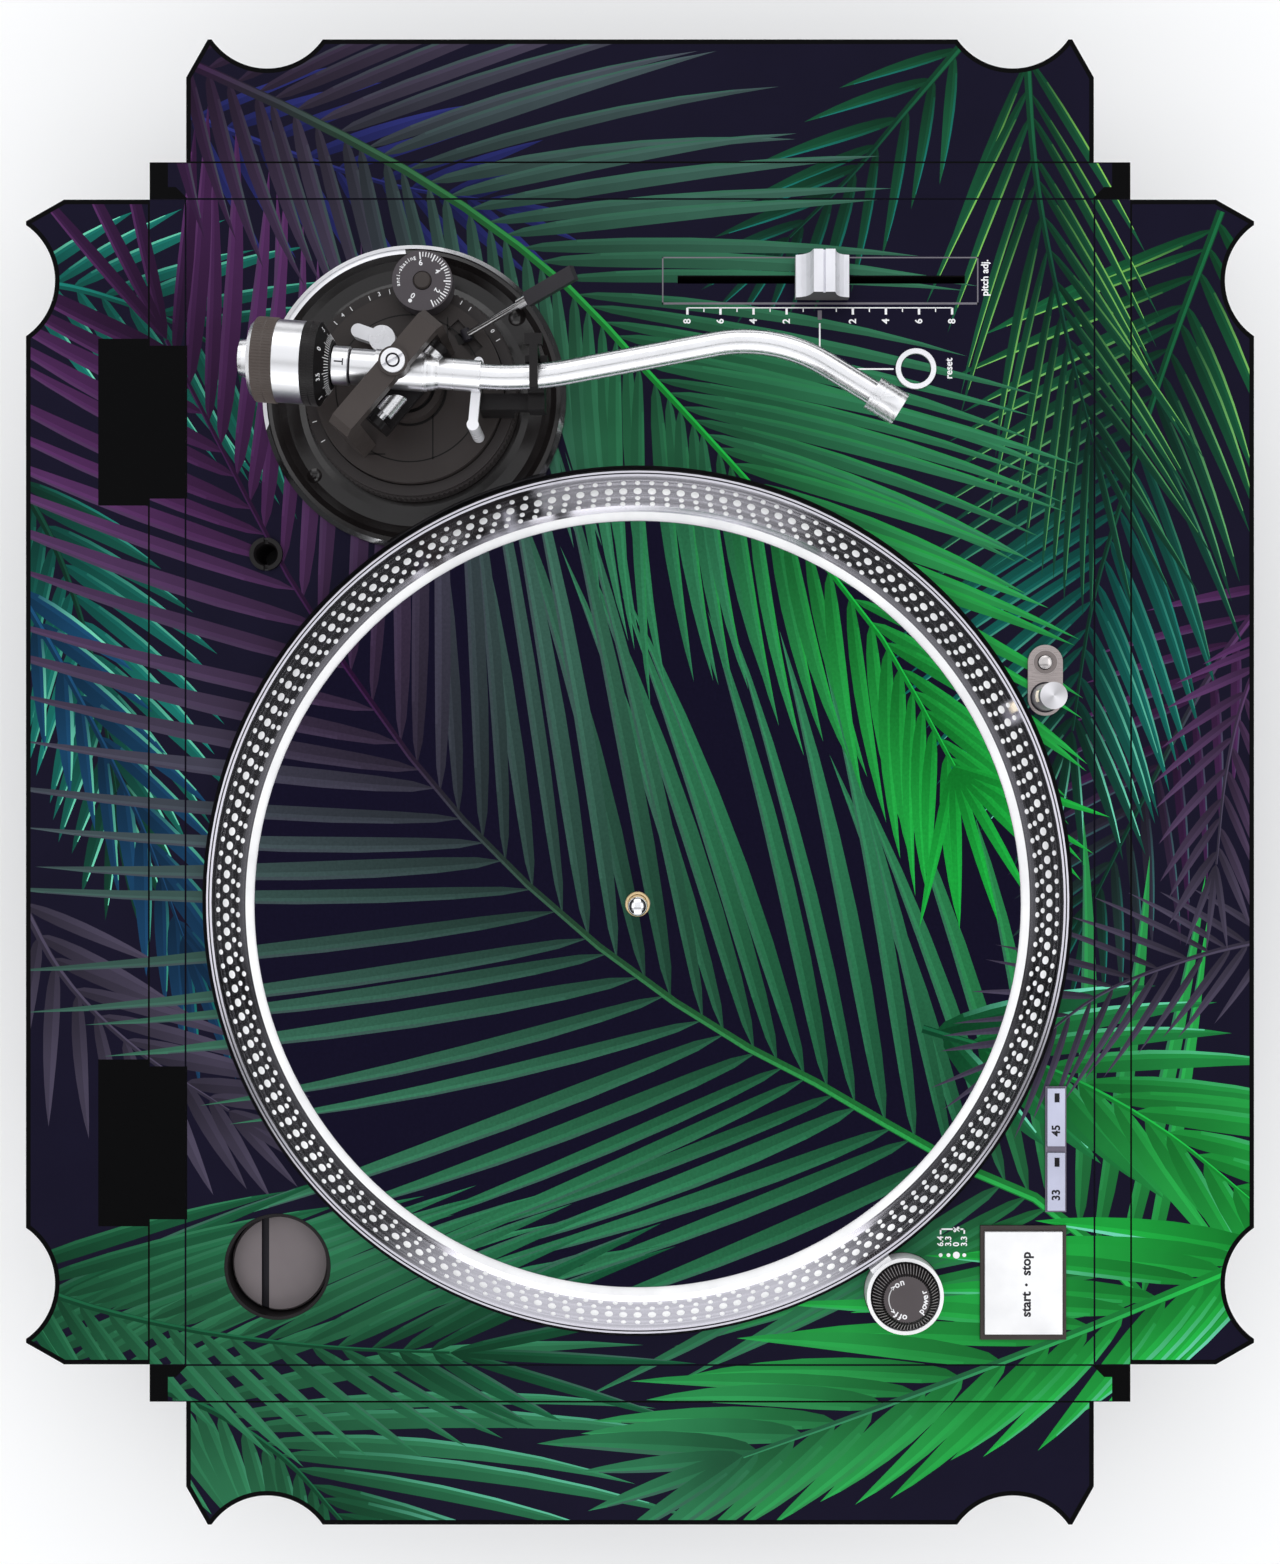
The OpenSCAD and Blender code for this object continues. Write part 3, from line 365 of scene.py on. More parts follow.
def dress_nodes():
    arm_metal = along_arm_turned("arm_turned", (0.86, 0.86, 0.88), 0.31)
    platter_metal = turned("platter_metal", (0.67, 0.655, 0.72), PLATTER, UP, rough=0.16,
                           scale=900, strength=0.02)
    looks = {
        CASE: ["top_cabinet"],
        BASE_RUBBER: ["rubber_base"],
        STEEL: ["base_screws", "motor_stator"],
        polished("cue_steel", (0.7, 0.69, 0.69), rough=0.2): ["cue_lever"],
        BRASS: ["spindle_bearing"],
        BOARD: ["circuit_board", "switch_board"],
        COPPER: ["power_transformer"],
        BLACK_PLASTIC: ["hinge_sockets", "cable_glands", "headshell_holder", "adaptor_well",
                        "armrest_post", "armrest_clip", "force_dial", "weight_bush", "gimbal_frame",
                        "fader_track"],
        DISH: ["tonearm_base_plate"],
        DARK_CAST: ["arm_lift_base", "rotor_magnet"],
        GRAPHITE: ["bearing_bridge", "start_stop_frame"],
        CHROME: ["base_trim_ring", "spindle"],
        BRIGHT_WHITE: ["reset_ring", "pivot_screw", "lock_lever", "cue_rail"],
        KEY_FRAME: ["speed_key_frame"],
        WHITE_KEY: ["start_stop_key"],
        LILAC_KEY: ["key_33", "key_45"],
        moulded("housing_white", srgb(250, 250, 252), rough=0.3, strength=0.04): ["strobe_housing"],
        brushed("lamp_plate_steel", srgb(166, 156, 154), rough=0.3, stretch=(60, 1, 1),
                metallic=0.4): ["lamp_plate"],
        painted("knob_graphite", srgb(84, 78, 80), rough=0.36): ["power_knob"],
        moulded("dial_grey", srgb(78, 73, 77), rough=0.4): ["antiskate_dial"],
        moulded("ring_grey", srgb(48, 44, 44), rough=0.4): ["height_ring"],
        # The lamp head's top carries a painted sheen in wedges.
        spun("lamp_metal", (0.72, 0.71, 0.74), centre("lamp_head")): ["lamp_head"],
        turned("lamp_button_metal", (0.6, 0.57, 0.56), centre("lamp_button"), UP,
               rough=0.22): ["lamp_button"],
        platter_metal: ["platter"],
        arm_metal: ["arm_housing", "rear_shaft", "headshell_collar", "counterweight"],
        ALLOY: ["arm_tube"],
        moulded("fader_silver", srgb(236, 236, 242), rough=0.3, strength=0.08): ["pitch_knob"],
        moulded("reset_cap", srgb(30, 80, 56), rough=0.3, strength=0.05): ["reset_button"],
        moulded("adaptor_dark", srgb(108, 101, 103), rough=0.5, strength=0.25): ["adaptor_45"],
        RUBBER: ["foot_front_right", "foot_front_left", "foot_rear_right", "foot_rear_left"],
    }
    for material, nodes in looks.items():
        for node in nodes:
            dress(node, material)
    pin = joint_spot("cue_lever_turn")
    two_tone("cue_lever", moulded("paddle_grey", srgb(52, 50, 54), rough=0.35),
             lambda spot: (spot - pin).length > 29.5 * MM)
    two_tone("cue_lever", DARK_INK, lambda spot: (spot - pin).length < 2.9 * MM)
    # Painted shade: the knob's fluted sides below its top are painted much darker than the top.
    two_tone("power_knob", moulded("knob_flutes_painted_shade", srgb(34, 31, 32), rough=0.35),
             lambda spot: spot.z < KNOB.z - 0.1 * MM)
    # Painted highlight: the trim ring's top and the plate's outer slope are painted bright white on the side
    # facing +X+Y, where a lit rim would shine.
    painted_highlight_way = Vector((1, 1, 0)).normalized()
    rim_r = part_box("base_trim_ring")[1].x - PIVOT.x
    two_tone("tonearm_base_plate", BRIGHT_WHITE,
             lambda spot: rim_r - 4.3 * MM < (spot - PIVOT).xy.length
             and (spot - PIVOT).xy.normalized().dot(painted_highlight_way.xy) > 0.75 and spot.z > DECK_Z + 1 * MM)
    two_tone("base_trim_ring", BRIGHT_WHITE,
             lambda spot: (spot - PIVOT).xy.normalized().dot(painted_highlight_way.xy) > 0.55
             and spot.z > DECK_Z + 2.9 * MM)
    # Painted shade: the adaptor's faces inside the slot, below its top, are painted dark ink.
    slot_y = centre("adaptor_45").y + 5.8 * MM
    adaptor_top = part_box("adaptor_45")[1].z
    two_tone("adaptor_45", DARK_INK,
             lambda spot: spot.z < adaptor_top - 0.1 * MM and abs(spot.y - slot_y) < 1.6 * MM)
    knurl = moulded("knurl_brown", srgb(84, 76, 72), rough=0.4)
    axis_spot = Vector((PIVOT.x, PIVOT.y, ARM_Z))
    two_tone("counterweight", knurl,
             lambda spot: KNURL[0] < (spot - axis_spot).dot(ARM_BACK) < KNURL[1]
             and ((spot - axis_spot) - ARM_BACK * (spot - axis_spot).dot(ARM_BACK)).length > 10 * MM)
    # Painted shade: the silver knob's face towards -X is painted dark grey.
    knob_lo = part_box("pitch_knob")[0]
    two_tone("pitch_knob", moulded("knob_painted_shade", srgb(96, 94, 96), rough=0.4),
             lambda spot: spot.x < knob_lo.x + 0.2 * MM)


# ---- mesh helpers ----
def piece(name, mesh, material, body):
    obj = bpy.data.objects.new(name, mesh)
    SCENE.collection.objects.link(obj)
    if material:
        mesh.materials.append(material)
    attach(obj, body)
    return obj


def mesh_of(name, bm, sharp=30):
    """The bmesh as a mesh, smooth where its faces meet at less than sharp degrees."""
    bmesh.ops.recalc_face_normals(bm, faces=bm.faces)
    for face in bm.faces:
        face.smooth = True
    for edge in bm.edges:
        edge.smooth = len(edge.link_faces) == 2 and edge.calc_face_angle(0) < math.radians(sharp)
    mesh = bpy.data.meshes.new(name)
    bm.to_mesh(mesh)
    bm.free()
    return mesh


def solid(name, bm, material, body, sharp=30):
    """Turns a bmesh into a piece."""
    return piece(name, mesh_of(name, bm, sharp), material, body)


def lathe(bm, profile, matrix, steps=64):
    """Turns (radius, height) points round the matrix's Z axis, closed at both ends."""
    rings = []
    for radius, height in profile:
        if radius < 1e-7:
            rings.append([bm.verts.new(matrix @ Vector((0, 0, height)))] * steps)
            continue
        turns = [2 * math.pi * i / steps for i in range(steps)]
        rings.append([bm.verts.new(matrix @ Vector((radius * math.cos(a), radius * math.sin(a), height)))
                      for a in turns])
    for low, high in zip(rings, rings[1:]):
        for i in range(steps):
            corners = [low[i], low[(i + 1) % steps], high[(i + 1) % steps], high[i]]
            kept = [v for k, v in enumerate(corners) if v not in corners[:k]]
            if len(kept) > 2:
                bm.faces.new(kept)


def flat_dot(bm, radius, matrix, steps):
    """A printed dot, radius in millimetres."""
    lathe(bm, [(0, 0), mm(radius, 0), mm(radius, 0.03), mm(0, 0.03)], matrix, steps)


def ring_solid(bm, r_in, r_out, z0, z1, matrix, bevel=0.0, steps=96):
    profile = [(r_in, z0), (r_out, z0), (r_out, z1 - bevel), (r_out - bevel, z1), (r_in + bevel, z1),
               (r_in, z1 - bevel), (r_in, z0)]
    lathe(bm, profile, matrix, steps)
    bmesh.ops.remove_doubles(bm, verts=bm.verts, dist=1e-7)


def bar(bm, low, high, matrix=None):
    """A box between two corners."""
    matrix = matrix or Matrix.Identity(4)
    made = bmesh.ops.create_cube(bm, size=1)["verts"]
    low, high = Vector(low), Vector(high)
    middle, size = (low + high) / 2, high - low
    for v in made:
        v.co = matrix @ Vector([middle[i] + v.co[i] * size[i] for i in range(3)])
    return made


def soft_bar(bm, low, high, radius, segments):
    """A box between two corners, with rounded edges."""
    edges = {e for v in bar(bm, low, high) for e in v.link_edges}
    bmesh.ops.bevel(bm, geom=list(edges), offset=radius, segments=segments, affect="EDGES")


def frame_matrix(origin, x, y):
    """Local axes x and y at origin, as a matrix."""
    x = Vector(x).normalized()
    z = x.cross(Vector(y)).normalized()
    y = z.cross(x)
    m = Matrix.Identity(4)
    for column, axis in enumerate((x, y, z)):
        for row in range(3):
            m[row][column] = axis[row]
    return Matrix.Translation(origin) @ m


def letters(bm, text, size, matrix, depth=INK_T, bold=0.022, align="CENTER"):
    """Adds raised characters in the matrix's XY plane, centred on its origin unless align says LEFT."""
    curve = bpy.data.curves.new("text", "FONT")
    curve.body = text
    curve.size = size
    curve.offset = size * bold
    curve.align_x = align
    curve.align_y = "CENTER"
    curve.extrude = depth / 2
    curve.resolution_u = 4
    obj = bpy.data.objects.new("text", curve)
    SCENE.collection.objects.link(obj)
    depsgraph = bpy.context.evaluated_depsgraph_get()
    mesh = bpy.data.meshes.new_from_object(obj.evaluated_get(depsgraph))
    mesh.transform(matrix @ Matrix.Translation((0, 0, depth / 2)))
    bm.from_mesh(mesh)
    bpy.data.meshes.remove(mesh)
    bpy.data.objects.remove(obj)
    bpy.data.curves.remove(curve)


def flat_at(x, y, z, angle=0.0):
    return Matrix.Translation((x, y, z)) @ Matrix.Rotation(math.radians(angle), 4, "Z")


def round_at(middle, radius, degrees, z, angle=0.0):
    """A level place on a circle round middle."""
    a = math.radians(degrees)
    return flat_at(middle.x + radius * math.cos(a), middle.y + radius * math.sin(a), z, angle)


# ---- the palm print, drawn on the unfolded sheet in millimetres ----
PRINT = []


def spline(points, t):
    """Catmull-Rom through the points, with t from 0 to 1, and its direction."""
    pts = [2 * np.array(points[0]) - np.array(points[1]), *map(np.array, points),
           2 * np.array(points[-1]) - np.array(points[-2])]
    spans = len(points) - 1
    s = min(t * spans, spans - 1e-6)
    i, u = int(s), s - int(s)
    a, b, c, d = (np.array(p, float) for p in pts[i:i + 4])
    place = 0.5 * (2 * b + (c - a) * u + (2 * a - 5 * b + 4 * c - d) * u ** 2
                   + (3 * b - a - 3 * c + d) * u ** 3)
    slope = 0.5 * ((c - a) + 2 * (2 * a - 5 * b + 4 * c - d) * u + 3 * (3 * b - a - 3 * c + d) * u ** 2)
    return place, slope / (np.linalg.norm(slope) + 1e-9)


def turn(v, degrees):
    c, s = math.cos(math.radians(degrees)), math.sin(math.radians(degrees))
    return np.array([c * v[0] - s * v[1], s * v[0] + c * v[1]])


def shape(points, root, tip, tones):
    """Adds one polygon, whose colour runs from tones[0] at root to tones[1] at tip."""
    pts = np.array(points, float)
    x, y = pts[:, 0], pts[:, 1]
    if np.dot(x, np.roll(y, -1)) < np.dot(y, np.roll(x, -1)):
        pts = pts[::-1]
    PRINT.append((pts, np.array(root, float), np.array(tip, float), np.array(tones, float)))


def flat_shape(points, colour):
    shape(points, points[0], points[1], (colour, colour))


def tone(colour, k):
    return tuple(min(1.0, c * k) for c in colour)


def blade(root, heading, length, width, bend, colour, edge):
    """One leaflet: a curved lens, a lit half and a fine pale edge."""
    root = np.array(root)
    middle = root + heading * length * 0.55
    tip = middle + turn(heading, bend) * length * 0.45
    steps = [0, 0.05, 0.13, 0.25, 0.4, 0.56, 0.72, 0.87, 1]

    def along(t):
        place = (1 - t) ** 2 * root + 2 * t * (1 - t) * middle + t ** 2 * tip
        slope = 2 * (1 - t) * (middle - root) + 2 * t * (tip - middle)
        side = turn(slope / np.linalg.norm(slope), 90)
        return place, side, width * math.sin(math.pi * t ** 0.6) ** 0.8 if 0 < t < 1 else 0

    rows = [along(t) for t in steps]
    left = [p + s * w for p, s, w in rows]
    right = [p - s * w for p, s, w in rows[1:-1]]
    mid = [p + s * w * 0.12 for p, s, w in rows]
    lip = [p + s * w * 0.62 for p, s, w in rows]
    shape(left + right[::-1], root, tip, (tone(colour, 0.42), tone(colour, 0.86)))
    shape(mid + left[1:-1][::-1], root, tip, (tone(colour, 0.62), tone(colour, 1.12)))
    if edge is not None:
        shape(lip[2:-1] + left[2:-1][::-1], root, tip, (tone(colour, 0.8), edge))


def mix(colours, t):
    """Colour at t from 0 to 1 along a list of them."""
    s = min(t, 0.999) * (len(colours) - 1)
    i, u = int(s), s - int(s)
    return tuple((1 - u) * a + u * b for a, b in zip(colours[i], colours[i + 1]))


def frond(spine, count, width, colours, edges, left=None, right=None, rib=1.6, seed=1, tip_fan=3):
    """A palm leaf: leaflets on both sides of a midrib, smallest at its ends.

    left and right are (length at the root, middle, tip, angle at the root, angle at the tip, bend).
    """
    rng = random.Random(seed)
    for i in range(count):
        t = (i + 0.5) / count
        for sign, side in ((1, left), (-1, right)):
            if side is None:
                continue
            a, b, c, start, end, bend = side
            reach = a + (b - a) * t / 0.5 if t < 0.5 else b + (c - b) * (t - 0.5) / 0.5
            place, heading = spline(spine, min(1, t + rng.uniform(-0.2, 0.2) / count))
            angle = start + (end - start) * t + rng.uniform(-2.5, 2.5)
            blade(place, turn(heading, sign * angle), reach * rng.uniform(0.9, 1.08),
                  width * rng.uniform(0.85, 1.15), -sign * bend * rng.uniform(0.6, 1.3),
                  tone(mix(colours, t), rng.uniform(0.85, 1.15)), mix(edges, t) if edges else None)
    end, heading = spline(spine, 1)
    for k in range(tip_fan):
        blade(end, turn(heading, (k - (tip_fan - 1) / 2) * 14), (left or right)[2], width * 0.8, 0,
              colours[-1], edges[-1] if edges else None)
    rows = [spline(spine, k / 16) for k in range(17)]
    for part, factor, lift in ((rib, 0.55, 0), (rib * 0.4, 1.25, rib * 0.35)):
        sides = [(p + turn(h, 90) * (lift + part * (1 - 0.75 * k / 16)),
                  p + turn(h, 90) * (lift - part * (1 - 0.75 * k / 16))) for k, (p, h) in enumerate(rows)]
        shape([s[0] for s in sides] + [s[1] for s in sides][::-1], rows[0][0], rows[-1][0],
              (tone(mix(colours, 0), factor), tone(mix(colours, 1), factor)))


def draw_fronds():
    # Far leaves: blue at the back right, teal at the back, purple and grey at the front.
    frond([(262, 182), (246, 140), (232, 96), (226, 60)], 9, 2.4, [BLUE, tone(BLUE, 0.8)], None,
          left=(60, 66, 40, 44, 30, 6), right=(60, 70, 44, 46, 32, 6), seed=2)
    frond([(196, 243), (190, 212), (176, 176), (150, 140)], 10, 2.6, [TEAL, DEEP], [MINT, TEAL],
          left=(50, 74, 50, 46, 30, 8), right=(70, 84, 50, 48, 32, 8), seed=3)
    frond([(120, 243), (88, 226), (44, 212), (-4, 204)], 12, 3.0, [DEEP, TEAL, DEEP], [TEAL, MINT],
          left=(54, 84, 50, 40, 26, 8), right=(58, 70, 40, 44, 28, 6), seed=4)
    frond([(82, 246), (40, 222), (-12, 196), (-60, 178)], 9, 3.2, [srgb(20, 66, 100), srgb(20, 56, 88)],
          [MINT, TEAL], left=(50, 70, 60, 26, 16, 4), right=(44, 60, 50, 28, 18, 4), seed=5)
    frond([(-40, 244), (-76, 224), (-104, 196), (-128, 160)], 9, 3.0, [GREYPURPLE, GREYPURPLE], None,
          left=(60, 70, 40, 40, 26, 6), right=(50, 66, 40, 42, 28, 6), seed=6)
    frond([(80, -250), (42, -222), (-6, -196), (-46, -176)], 11, 2.0, [PURPLE, PLUM, DEEP], [PURPLE, TEAL],
          left=(56, 70, 44, 42, 30, 6), right=(56, 66, 40, 44, 30, 6), seed=7)
    frond([(222, -226), (168, -206), (118, -190), (70, -176), (20, -168)], 22, 2.3,
          [srgb(20, 92, 54), DEEP, srgb(14, 96, 88), DEEP], [LIME, TEAL, MINT],
          left=(70, 96, 60, 48, 32, 8), right=(96, 112, 60, 50, 34, 8), seed=8)
    frond([(288, -150), (236, -154), (182, -164), (132, -176)], 13, 1.7, [FOREST, DEEP], [LIME, PALM],
          left=(96, 110, 70, 30, 20, 6), right=(90, 104, 70, 30, 20, 6), seed=9)
    frond([(290, -128), (262, -104), (236, -82), (212, -58)], 7, 2.2, [FOREST, DEEP], [TEAL, TEAL],
          left=(50, 60, 40, 36, 26, 6), right=(50, 60, 40, 36, 26, 6), seed=19)
    # The great frond over the platter: green at its root by the keys, purple at its tip.
    frond([(-206, -200), (-168, -164), (-147, -120), (-120, -74), (-97, -31), (-64, 16), (-25, 59), (16, 94),
           (74, 133), (121, 158), (172, 184)], 42, 3.3,
          [BRIGHT, PALM, PALM, GREYGREEN, GREYPURPLE, PURPLE, PLUM], [PALM, GREYGREEN, GREYPURPLE, PURPLE],
          left=(140, 216, 96, 60, 38, 8), right=(150, 226, 96, 56, 32, 8), rib=2.2, seed=10)
    # The long frond from the back right corner: purple, grey, then bright green.
    frond([(286, 190), (260, 133), (230, 78), (195, 31), (158, -4), (121, -38), (63, -89), (6, -122)],
          46, 2.9, [PLUM, GREYPURPLE, GREYGREEN, PALM, PALM, BRIGHT, VIVID],
          [GREYPURPLE, GREYGREEN, PALM, BRIGHT, VIVID],
          left=(120, 176, 64, 54, 24, 10), right=(74, 134, 64, 56, 30, 12), rib=2.2, seed=11, tip_fan=7)
    # The left back corner: leaflets sweep across the left side.
    frond([(-214, 262), (-226, 226), (-240, 176), (-262, 140), (-288, 116)], 18, 3.4,
          [FOREST, PALM, PALM, FOREST], [GREYGREEN, PALM, MINT],
          left=(150, 190, 120, 46, 34, 14), right=(60, 70, 60, 50, 36, 8), rib=2.2, seed=12)
    frond([(-190, 252), (-204, 214), (-214, 170), (-220, 120), (-222, 74)], 15, 3.0, [FOREST, PALM, FOREST],
          [PALM, GREYGREEN], left=(110, 150, 96, 40, 30, 10), right=(50, 80, 60, 40, 28, 8), seed=13)
    # The left front corner: broad bright leaflets.
    frond([(-96, -110), (-112, -160), (-136, -204), (-170, -246)], 11, 4.6, [FOREST, BRIGHT, VIVID],
          [MINT, BRIGHT, MINT], left=(84, 112, 84, 32, 20, 10), right=(60, 84, 60, 34, 20, 8), seed=14)
    frond([(-180, -252), (-196, -214), (-218, -160), (-242, -96), (-262, -40)], 15, 4.4,
          [VIVID, BRIGHT, PALM], [MINT, BRIGHT, GREYGREEN],
          left=(70, 84, 64, 34, 22, 10), right=(86, 120, 84, 34, 24, 12), rib=2.4, seed=15)
    frond([(-60, -250), (-68, -216), (-82, -180), (-104, -150)], 12, 1.5, [GREYPURPLE, GREYPURPLE], None,
          left=(40, 56, 40, 46, 34, 6), right=(40, 56, 40, 46, 34, 6), rib=1.2, seed=16)
    frond([(64, -250), (36, -236), (4, -228), (-32, -224)], 10, 1.7, [PURPLE, GREYPURPLE], None,
          left=(34, 44, 34, 42, 30, 6), right=(34, 44, 34, 42, 30, 6), rib=1.2, seed=17)


BAND = 14.2


def box_shape(x0, y0, x1, y1, colour):
    flat_shape([(x0, y0), (x1, y0), (x1, y1), (x0, y1)], colour)


def arc_points(cx, cy, r, a0, a1, steps):
    return [(cx + r * math.cos(math.radians(a0 + (a1 - a0) * i / steps)),
             cy + r * math.sin(math.radians(a0 + (a1 - a0) * i / steps))) for i in range(steps + 1)]


class Flap:
    """One side flap in sheet millimetres: u runs outwards from the fold, v along the edge."""
    OUT = 62.0
    CUT_U, CUT_V = 14.8, 8.4
    ARCH_R, ARCH_OUT = 26.3, 15.0
    EDGE = 1.8

    def __init__(self, node, outward, half, arch, tabs):
        self.node, self.half, self.arch, self.tabs = node, half, arch, tabs
        self.outward = np.array(outward, float)
        self.sideways = turn(self.outward, 90)
        fold = HALF_W if outward[0] else HALF_D
        self.start = fold / MM + 0.3

    def at(self, u, v):
        return self.outward * (self.start + u) + self.sideways * v

    def outline(self):
        half, out = self.half, self.OUT
        points = [(-0.22, -half)]
        if self.tabs:
            points = [(-0.22, -half - BAND), (BAND, -half - BAND), (BAND, -half)]
        points += [(out - self.CUT_U, -half), (out, self.CUT_V - half)]
        for side in (-1, 1):
            reach = math.acos(self.ARCH_OUT / self.ARCH_R)
            spread = math.degrees(reach)
            points += arc_points(out + self.ARCH_OUT, side * self.arch, self.ARCH_R, 180 + spread,
                                 180 - spread, 28)
        points += [(out, half - self.CUT_V), (out - self.CUT_U, half)]
        points += [(BAND, half), (BAND, half + BAND)] if self.tabs else []
        points.append((-0.22, half + (BAND if self.tabs else 0)))
        return [self.at(*p) for p in points]

    def quad(self, u0, v0, u1, v1, colour):
        flat_shape([self.at(u0, v0), self.at(u1, v0), self.at(u1, v1), self.at(u0, v1)], colour)

    def slanted(self, points, colour):
        flat_shape([self.at(*p) for p in points], colour)

    def draw(self):
        half, out, e = self.half, self.OUT, self.EDGE
        span = half + (BAND if self.tabs else 0)
        self.quad(BAND - 0.35, -span, BAND + 0.35, span, INK)
        self.quad(-0.4, -span, 0.3, span, tone(NIGHT, 0.4))
        self.quad(out - e, self.CUT_V - half, out + 1, half - self.CUT_V, INK)
        for s in (-1, 1):
            slope = (self.CUT_V, -s * self.CUT_U)
            nudge = [e * c / math.hypot(*slope) for c in slope]
            a, b = (out - self.CUT_U, s * half), (out, s * (half - self.CUT_V))
            self.slanted([a, b, (b[0] - abs(nudge[0]), b[1] - s * abs(nudge[1])),
                          (a[0] - abs(nudge[0]), a[1] - s * abs(nudge[1]))], INK)
            self.quad(BAND, s * (half - e), out - self.CUT_U + 0.5, s * half, INK)
            spread = math.degrees(math.acos(self.ARCH_OUT / self.ARCH_R)) + 4
            middle = (out + self.ARCH_OUT, s * self.arch)
            ring = arc_points(*middle, self.ARCH_R - 0.5, 180 + spread, 180 - spread, 24)
            ring += arc_points(*middle, self.ARCH_R + e, 180 - spread, 180 + spread, 24)
            self.slanted(ring, INK)
            if self.tabs:
                far = half + BAND
                self.quad(0, s * (far - 7.1), BAND, s * far, INK)
                corners = ((0, far), (4.6, far), (4.6, half + 4), (0, half - 0.6))
                self.slanted([(u, s * v) for u, v in corners], INK)


FLAPS = [
    Flap("flap_right", (1, 0), HALF_D / MM, 145, True),
    Flap("flap_left", (-1, 0), HALF_D / MM, 145, True),
    Flap("flap_front", (0, -1), HALF_W / MM, 195, False),
    Flap("flap_back", (0, 1), HALF_W / MM, 195, False),
]


def draw_marks():
    for flap in FLAPS:
        flap.draw()
    edge = HALF_D / MM
    for x0, x1 in ((107.5, 172.4), (-172.8, -107.9)):
        box_shape(x0, edge + BAND, x1, edge + 34.2, INK)
        box_shape(x0 + 2.7, edge - 0.4, x1 - 2.7, edge + BAND + 0.1, INK)


def circle(middle, radius, steps=120):
    return arc_points(middle.x / MM, middle.y / MM, radius / MM, 0, 360 * (1 - 1 / steps), steps - 1)


def rectangle(low, high, grow=0.0):
    return [(low.x / MM - grow, low.y / MM - grow), (high.x / MM + grow, low.y / MM - grow),
            (high.x / MM + grow, high.y / MM + grow), (low.x / MM - grow, high.y / MM + grow)]


def skin_holes():
    """The openings in the deck's skin, as the CAD has them."""
    well = PLATTER_R + 3.3 * MM
    lamp, button = centre("lamp_head"), centre("lamp_button")
    frames = [rectangle(*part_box(n), grow=0.1) for n in ("start_stop_frame", "speed_key_frame")]
    lo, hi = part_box("fader_track")
    slot = Vector((1.6 * MM, (hi.y - lo.y) / 2 - 6.9 * MM, 0))
    frames.append(rectangle(FADER - slot, FADER + slot))
    lamp_r = (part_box("lamp_head")[1].x - lamp.x) + 0.6 * MM
    plate_r = (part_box("tonearm_base_plate")[1].x - PIVOT.x) + 1.9 * MM
    rounds = [
        (PLATTER, well), (PIVOT, plate_r), (lamp, lamp_r), (button, 3 * MM), (RESET, 8 * MM),
        (centre("headshell_holder"), 6.5 * MM), (centre("adaptor_well"), 20.7 * MM), (KNOB, 15.1 * MM),
    ]
    return frames + [circle(c, r, 200 if r > 0.1 else 72) for c, r in rounds]


def loops_of(edges):
    """Closed loops of directed edges, each as a list of points' numbers."""
    after = dict(edges)
    loops = []
    while after:
        first, step = next(iter(after.items()))
        loop = [first]
        del after[first]
        while step != first and step in after:
            loop.append(step)
            step = after.pop(step)
        loops.append(loop)
    return loops


